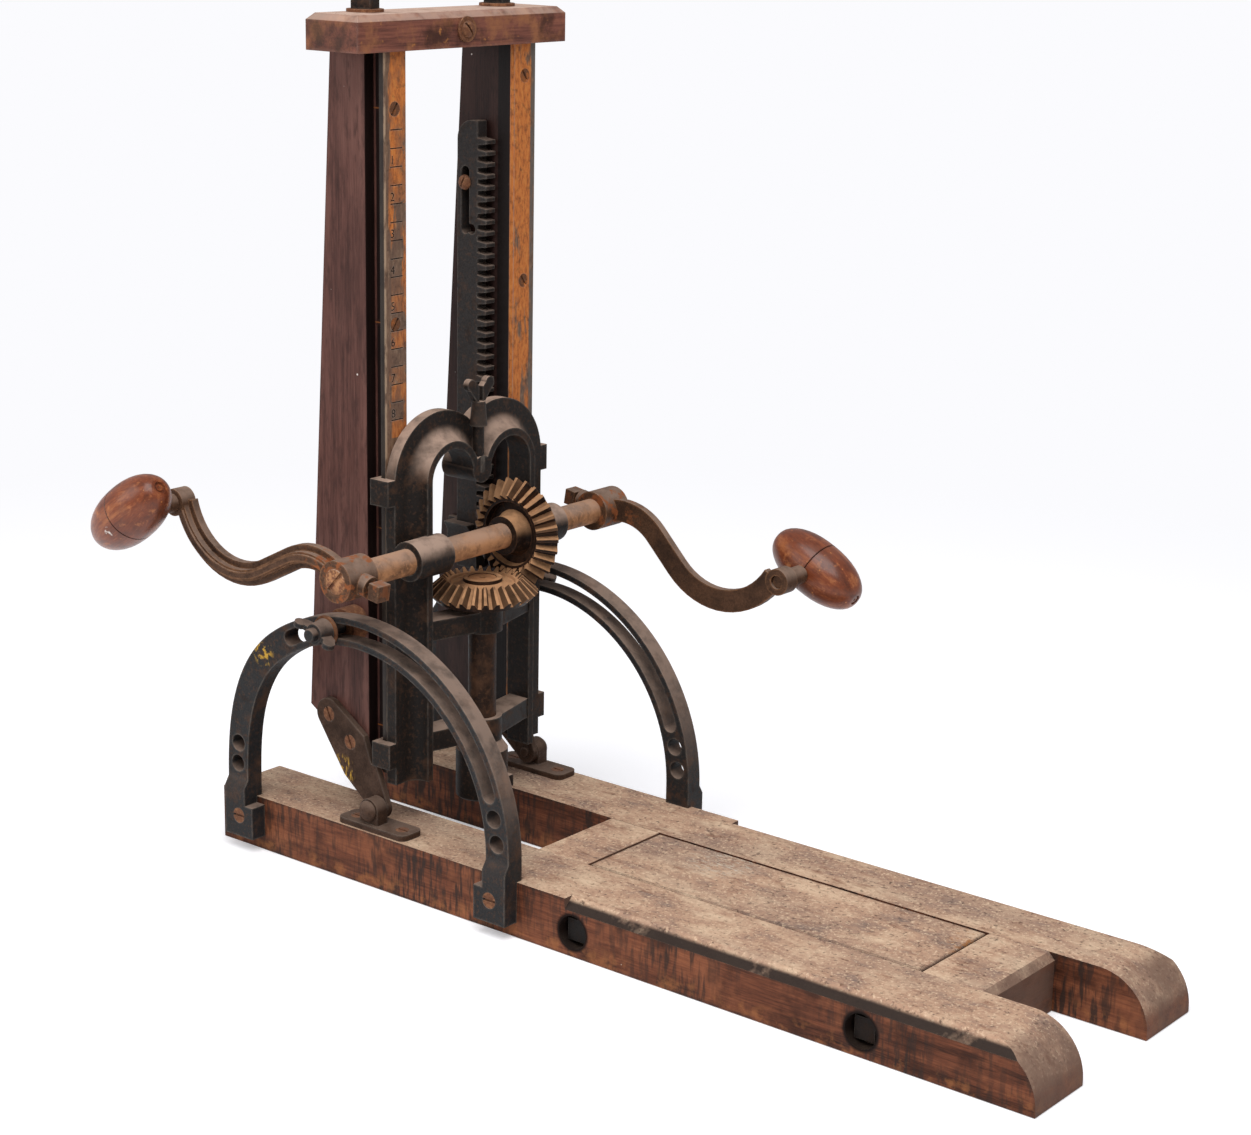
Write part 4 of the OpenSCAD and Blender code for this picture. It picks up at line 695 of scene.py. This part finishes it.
class BEAMDRILL_OT_iron(Operator):
    """Finishes the castings, spindle, gears, cranks, hinges and screws"""
    bl_idname = "beam_drill.iron"
    bl_label = "Finish the iron"

    def execute(self, context):
        look = context.scene.iron_colours
        low, high = [corner / MM for corner in corners("crank_shaft")]
        shaft = (low + high) / 2
        hub_rust = [("#8C5231", (shaft.x, side * (high.y - 6.5), shaft.z), 46, 9) for side in (-1, 1)]
        ring_paint = ("#C69B3E", (-300, -109, 160), 12, 4)
        hinge_paint = ("#C69B3E", (-243, -84, 76), 13, 5, (2.2, 1, 0.6))
        black = old_iron("black cast iron", look.black, look.brown, 1, rusty=0.2, dusty=1.0, wear=0.5)
        sunk = old_iron("black iron, sunk bolts", look.black, look.deep, 10, rusty=0.3, dusty=0.0, wear=0.3,
                        reach_mm=1.0)
        ring = old_iron("cast iron, quadrants", look.ring, look.brown, 2, rusty=0.3, dusty=0.6, wear=0.6,
                        marks=[ring_paint])
        rack = old_iron("oiled cast iron, rack", look.blue, look.brown, 3, rusty=0.1, dusty=0.35, wear=0.6)
        spindle = old_iron("rusted steel, spindle", look.spindle, look.brown, 9, rusty=0.5, dusty=1.0,
                           wear=0.3, dust=look.tan)
        gear = old_iron("rusted cast iron, gears", look.gear, look.brown, 5, rusty=0.3, dusty=1.0, wear=0.6,
                        edge=look.gear_edge, dust=look.gear_dust, reach_mm=0.9)
        crank = old_iron("forged iron, cranks", look.brown, look.deep, 6, rusty=0.5, dusty=0.5, wear=0.4,
                         edge=look.tan, marks=hub_rust)
        screw = old_iron("rusted steel, screws", look.screw, look.tan, 7, rusty=0.25, dusty=0.1, wear=0.35,
                         grain_mm=0.8, reach_mm=0.8)
        seated = old_iron("rusted steel, strip screws", look.strip_screw, look.orange, 11, rusty=0.5,
                          dusty=0.0, wear=0.3, grain_mm=0.8, reach_mm=0.6)
        hinge = old_iron("rusted iron, hinges", look.hinge, look.deep, 8, rusty=0.5, dusty=0.3, wear=0.5,
                         marks=[hinge_paint])
        groups = (
            (black, 2.0, "carriage_frame"),
            (black, 0.9, "cap_nuts tie_rods auger_socket socket_screw thumb_screw"),
            (sunk, 0.6, "cross_bolts cross_nuts cross_washers"),
            (ring, 0.9, "near_quadrant far_quadrant near_wing_nut far_wing_nut clamp_bolts"),
            (rack, 0.6, "rack rack_keeper"),
            (spindle, 0.5, "spindle"),
            (gear, 0.35, "upper_gear lower_gear"),
            (crank, 1.0, "near_crank_arm far_crank_arm crank_set_screws near_handle_pin far_handle_pin"),
            (screw, 0.25, "quadrant_screws hinge_plate_screws strap_screws cap_washers clamp_washers"
                          " clamp_collars keeper_screw rack_screw cap_screw cap_screw_washer"),
            (seated, 0.25, "strip_screws"),
            (hinge, 0.8, "near_hinge_plate far_hinge_plate hinge_pins near_strap far_strap"),
        )
        for material, ease, names in groups:
            for name in names.split():
                dress(name, material, ease)
        return {"FINISHED"}


class BEAMDRILL_OT_strips(Operator):
    """Finishes the guide strips and cuts the inch scale into the near one"""
    bl_idname = "beam_drill.strips"
    bl_label = "Finish the guide strips"

    def execute(self, context):
        sizes = context.scene.strip_sizes
        low, high = corners("near_guide_strip")
        first = high.z - sizes.first_drop
        half_inch = INCH / 2
        dress("far_guide_strip", strip_iron("rusty flat bar, far strip", 2, "far_guide_strip", 1, 0.40,
                                            "#57514C", 4.2), 0.5)
        strip = self.bar(context, sizes, low, high)
        carve(strip, [self.screw_seats(context, sizes, low, high)])
        cutters = [self.lines(context, sizes, low, high, first, half_inch)]
        for inch in range(1, sizes.inches + 1):
            cutters.append(self.figure(context, sizes, low, high, first, inch))
        carve(strip, cutters)
        bpy.ops.object.shade_smooth_by_angle(angle=math.radians(25))
        strip.data.materials.clear()
        strip.data.materials.append(strip_iron("rusty flat bar, near strip", 1, "near_guide_strip", -1, 0.50,
                                               "#A58B72", 1.6, (first, half_inch)))
        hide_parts("near_guide_strip")
        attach(strip, "drill_frame")
        return {"FINISHED"}

    def bar(self, context, sizes, low, high):
        """The bar itself, with eased edges."""
        start_piece()
        bpy.ops.mesh.primitive_cube_add(size=1, location=(low + high) / 2, scale=high - low)
        bar = context.object
        bar.name = "near_inch_strip"
        settle(bar)
        bpy.ops.object.mode_set(mode="EDIT")
        bpy.ops.mesh.select_all(action="SELECT")
        bpy.ops.mesh.bevel(offset=sizes.ease, segments=3, affect="EDGES")
        bpy.ops.object.mode_set(mode="OBJECT")
        return bar

    def lines(self, context, sizes, low, high, first, step):
        """V-shaped cutters for the lines, two to an inch."""
        start_piece()
        middle = low.y + sizes.line_inset + sizes.line_length / 2
        bpy.ops.mesh.primitive_cylinder_add(vertices=4, radius=sizes.line_width / 2, depth=sizes.line_length,
                                            location=(high.x, middle, first), rotation=(math.pi / 2, 0, 0))
        line = context.object
        settle(line)
        repeat(line, 2 * sizes.inches + 1, (0, 0, -step))
        return line

    def screw_seats(self, context, sizes, low, high):
        """Cone-shaped cutters for the seats of the screw heads, which stand a little proud of the strip."""
        start_piece()
        proud = 1 * MM
        place = (high.x + (proud - sizes.screw_sink) / 2, (low.y + high.y) / 2, high.z - sizes.screw_drop)
        bpy.ops.mesh.primitive_cone_add(vertices=40, radius1=sizes.screw_head / 2 - sizes.screw_sink,
                                        radius2=sizes.screw_head / 2 + proud, depth=sizes.screw_sink + proud,
                                        location=place, rotation=(0, math.pi / 2, 0))
        cone = context.object
        settle(cone)
        repeat(cone, sizes.screws, (0, 0, -sizes.screw_pitch))
        return cone

    def figure(self, context, sizes, low, high, first, inch):
        """Cutter for the figure of one inch, which stands on its line."""
        start_piece()
        bpy.ops.object.text_add()
        text = context.object
        text.data.body = str(inch)
        text.data.size = sizes.figure_height / FIGURE_SHARE
        text.data.extrude = sizes.figure_depth
        bpy.ops.object.convert(target="MESH")
        figure = context.object
        figure.location = (high.x, low.y + sizes.line_inset, first - inch * INCH + 2 * sizes.line_width)
        figure.rotation_euler = (math.pi / 2, 0, math.pi / 2)
        settle(figure)
        return figure


class BEAMDRILL_OT_shaft(Operator):
    """Turns the crank shaft, with eased ends and a driver slot across the near one"""
    bl_idname = "beam_drill.shaft"
    bl_label = "Turn the crank shaft"

    def execute(self, context):
        sizes, look = context.scene.shaft_sizes, context.scene.iron_colours
        low, high = corners("crank_shaft")
        middle = (low + high) / 2
        radius, half = (high.x - low.x) / 2, (high.y - low.y) / 2
        flat, shoulder = radius - sizes.ease, half - sizes.ease
        shaft = turn("turned_crank_shaft", [(0, -half), (flat, -half), (radius, -shoulder),
                                            (radius, shoulder), (flat, half), (0, half)])
        shaft.location = middle
        shaft.rotation_euler = (math.pi / 2, 0, 0)
        settle(shaft)
        start_piece()
        bpy.ops.mesh.primitive_cube_add(size=1, location=(middle.x, low.y, middle.z),
                                        rotation=(0, -sizes.slot_turn, 0),
                                        scale=(3 * radius, 2 * sizes.slot_depth, sizes.slot_width))
        slot = context.object
        settle(slot)
        carve(shaft, [slot])
        bpy.ops.object.shade_smooth_by_angle(angle=math.radians(35))
        near_end = (middle.x / MM, low.y / MM, middle.z / MM)
        end_rust = [("#6B4635", near_end, 16, size_mm) for size_mm in (7, 3)]
        shaft.data.materials.clear()
        shaft.data.materials.append(old_iron("rusted steel, shaft", look.brown, look.tan, 4, rusty=1.0,
                                             dusty=0.6, wear=0.3, marks=end_rust))
        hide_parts("crank_shaft")
        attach(shaft, "crank")
        return {"FINISHED"}


class BEAMDRILL_OT_handles(Operator):
    """Turns the two handles: a barrel with ringed flat ends and a line scribed round its middle"""
    bl_idname = "beam_drill.handles"
    bl_label = "Turn the handles"

    def execute(self, context):
        sizes = context.scene.handle_sizes
        chip = ("#EFE9DF", (-351, -207.5, 261.5), 4.5, 3)
        pair = (("near", sizes.near_lean, 1, (chip,)), ("far", sizes.far_lean, 2, ()))
        for side, lean, seed, marks in pair:
            node = side + "_handle"
            low, high = corners(node)
            handle = turn(side + "_turned_handle", self.outline(sizes))
            handle.location = (low + high) / 2
            handle.rotation_euler = (0, math.pi / 2 - lean, 0)
            settle(handle)
            title = "varnished maple, %s handle" % side
            handle.data.materials.clear()
            handle.data.materials.append(varnished_maple(title, seed, lean, marks))
            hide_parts(node)
            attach(handle, node)
        return {"FINISHED"}

    def outline(self, sizes):
        """Half outline of a handle, from end to end: dished ends with rings, and the barrel between them."""
        half, flat, ring, scribe = sizes.barrel / 2, sizes.flat / 2, sizes.ring, sizes.scribe
        end = [(0, ring * 2), (flat * 0.12, ring * 2), (flat * 0.2, ring), (flat * 0.5, ring),
               (flat * 0.56, ring * 1.6), (flat * 0.68, ring * 1.6), (flat * 0.74, 0), (flat, 0)]
        points = [(radius, depth - half) for radius, depth in end]
        # the barrel keeps its girth about the middle and drops quickly to the flats
        fullness, drop, count = 2.3, 0.62, 20
        for step in range(1, count):
            share = -math.cos(math.pi * step / count)
            radius = flat + (sizes.girth / 2 - flat) * (1 - abs(share) ** fullness) ** drop
            if step == count // 2:
                points += [(radius, -scribe / 2), (radius - scribe, 0), (radius, scribe / 2)]
            else:
                points.append((radius, share * half))
        return points + [(radius, half - depth) for radius, depth in reversed(end)]


class BEAMDRILL_OT_stage(Operator):
    """Sets up the white floor, the soft lamps and the camera"""
    bl_idname = "beam_drill.stage"
    bl_label = "Set up the studio"

    def execute(self, context):
        studio = context.scene.studio_settings
        self.floor(context)
        lamps = (
            ("key lamp", (0.5, -0.9, 2.3), (-0.05, 0, 0.2), 1.8, studio.key_watts),
            ("fill lamp", (-1.3, -1.7, 1.2), (-0.05, 0, 0.25), 1.4, studio.fill_watts),
        )
        for name, place, aim, size, watts in lamps:
            bpy.ops.object.light_add(type="AREA", location=place)
            lamp = context.object
            lamp.name = name
            lamp.data.size = size
            lamp.data.energy = watts
            lamp.rotation_euler = (Vector(aim) - Vector(place)).to_track_quat("-Z", "Y").to_euler()
        self.room(context, studio.sky)
        bpy.ops.object.camera_add(location=studio.camera_place[:], rotation=studio.camera_turn[:])
        camera = context.object
        camera.data.sensor_width = 36
        camera.data.lens = studio.lens
        camera.data.clip_end = 50
        context.scene.camera = camera
        context.scene.view_settings.view_transform = "Standard"
        return {"FINISHED"}

    def floor(self, context):
        """A floor of 12 m, just low enough to share no face with the underside of the base."""
        start_piece()
        bpy.ops.mesh.primitive_grid_add(x_subdivisions=2, y_subdivisions=2, size=12,
                                        location=(0, 0, -0.5 * MM))
        floor = context.object
        floor.name = "floor"
        settle(floor)
        floor.data.materials.append(self.paper())

    def paper(self):
        """White studio paper: soft shadows by the object, and plain white to the eye further off."""
        material, tree = new_material("white studio paper")
        ray = put(tree, "ShaderNodeLightPath")
        seen = put(tree, "ShaderNodeMath", {0: ray.outputs["Is Camera Ray"], 1: ray.outputs["Is Glossy Ray"]},
                   operation="MAXIMUM")
        paper = put(tree, "ShaderNodeBsdfDiffuse", {"Color": linear("#F4F4F6")})
        glow = put(tree, "ShaderNodeEmission", {"Color": linear("#FBFBFE"), "Strength": 0.30})
        lit = put(tree, "ShaderNodeAddShader", {0: paper.outputs[0], 1: glow.outputs[0]})
        white = put(tree, "ShaderNodeEmission", {"Color": linear("#FBFBFE"), "Strength": 1.0})
        # shadows show within 550 mm of the drill's middle and are gone at 1500 mm
        shadowed = close_to(tree, (-20, 0, 0), 550, 1500)
        bare = put(tree, "ShaderNodeMixShader", {0: shadowed, 1: white.outputs[0], 2: lit.outputs[0]})
        mixed = put(tree, "ShaderNodeMixShader", {0: seen.outputs[0], 1: paper.outputs[0],
                                                  2: bare.outputs[0]})
        put(tree, "ShaderNodeOutputMaterial", {"Surface": mixed.outputs[0]})
        return material

    def room(self, context, strength):
        """Even white room: full white to the eye and through clear things, softer as a light."""
        world = bpy.data.worlds.new("white room")
        context.scene.world = world
        world.use_nodes = True
        tree = world.node_tree
        tree.nodes.clear()
        ray = put(tree, "ShaderNodeLightPath")
        seen = put(tree, "ShaderNodeMath", {0: ray.outputs["Is Camera Ray"],
                                            1: ray.outputs["Is Transmission Ray"]}, operation="MAXIMUM")
        level = put(tree, "ShaderNodeMapRange", {"Value": seen.outputs[0], "To Min": strength, "To Max": 1.0})
        sky = put(tree, "ShaderNodeBackground", {"Color": linear("#FBFBFE"), "Strength": level.outputs[0]})
        put(tree, "ShaderNodeOutputWorld", {"Surface": sky.outputs[0]})


# Sidebar, registration and run

STEPS = (BEAMDRILL_OT_stage, BEAMDRILL_OT_wood, BEAMDRILL_OT_iron, BEAMDRILL_OT_strips, BEAMDRILL_OT_shaft,
         BEAMDRILL_OT_handles)
SETTINGS = {"wood_colours": WoodColours, "iron_colours": IronColours, "strip_sizes": StripSizes,
            "shaft_sizes": ShaftSizes, "handle_sizes": HandleSizes, "studio_settings": StudioSettings}


class BEAMDRILL_PT_sidebar(Panel):
    """Settings and steps of the beam drill"""
    bl_idname = "BEAMDRILL_PT_sidebar"
    bl_label = "Beam drill"
    bl_space_type = "VIEW_3D"
    bl_region_type = "UI"
    bl_category = "Beam drill"

    def draw(self, context):
        for name, group in SETTINGS.items():
            box = self.layout.box()
            box.label(text=group.__doc__)
            for setting in group.__annotations__:
                box.prop(getattr(context.scene, name), setting)
        for step in STEPS:
            self.layout.operator(step.bl_idname)


CLASSES = (*SETTINGS.values(), *STEPS, BEAMDRILL_PT_sidebar)


def register():
    for item in CLASSES:
        bpy.utils.register_class(item)
    for name, group in SETTINGS.items():
        setattr(bpy.types.Scene, name, PointerProperty(type=group))


def unregister():
    for name in SETTINGS:
        delattr(bpy.types.Scene, name)
    for item in reversed(CLASSES):
        bpy.utils.unregister_class(item)


def main():
    register()
    bpy.ops.beam_drill.stage()
    bpy.ops.beam_drill.wood()
    bpy.ops.beam_drill.iron()
    bpy.ops.beam_drill.strips()
    bpy.ops.beam_drill.shaft()
    bpy.ops.beam_drill.handles()


if __name__ == "__main__":
    main()
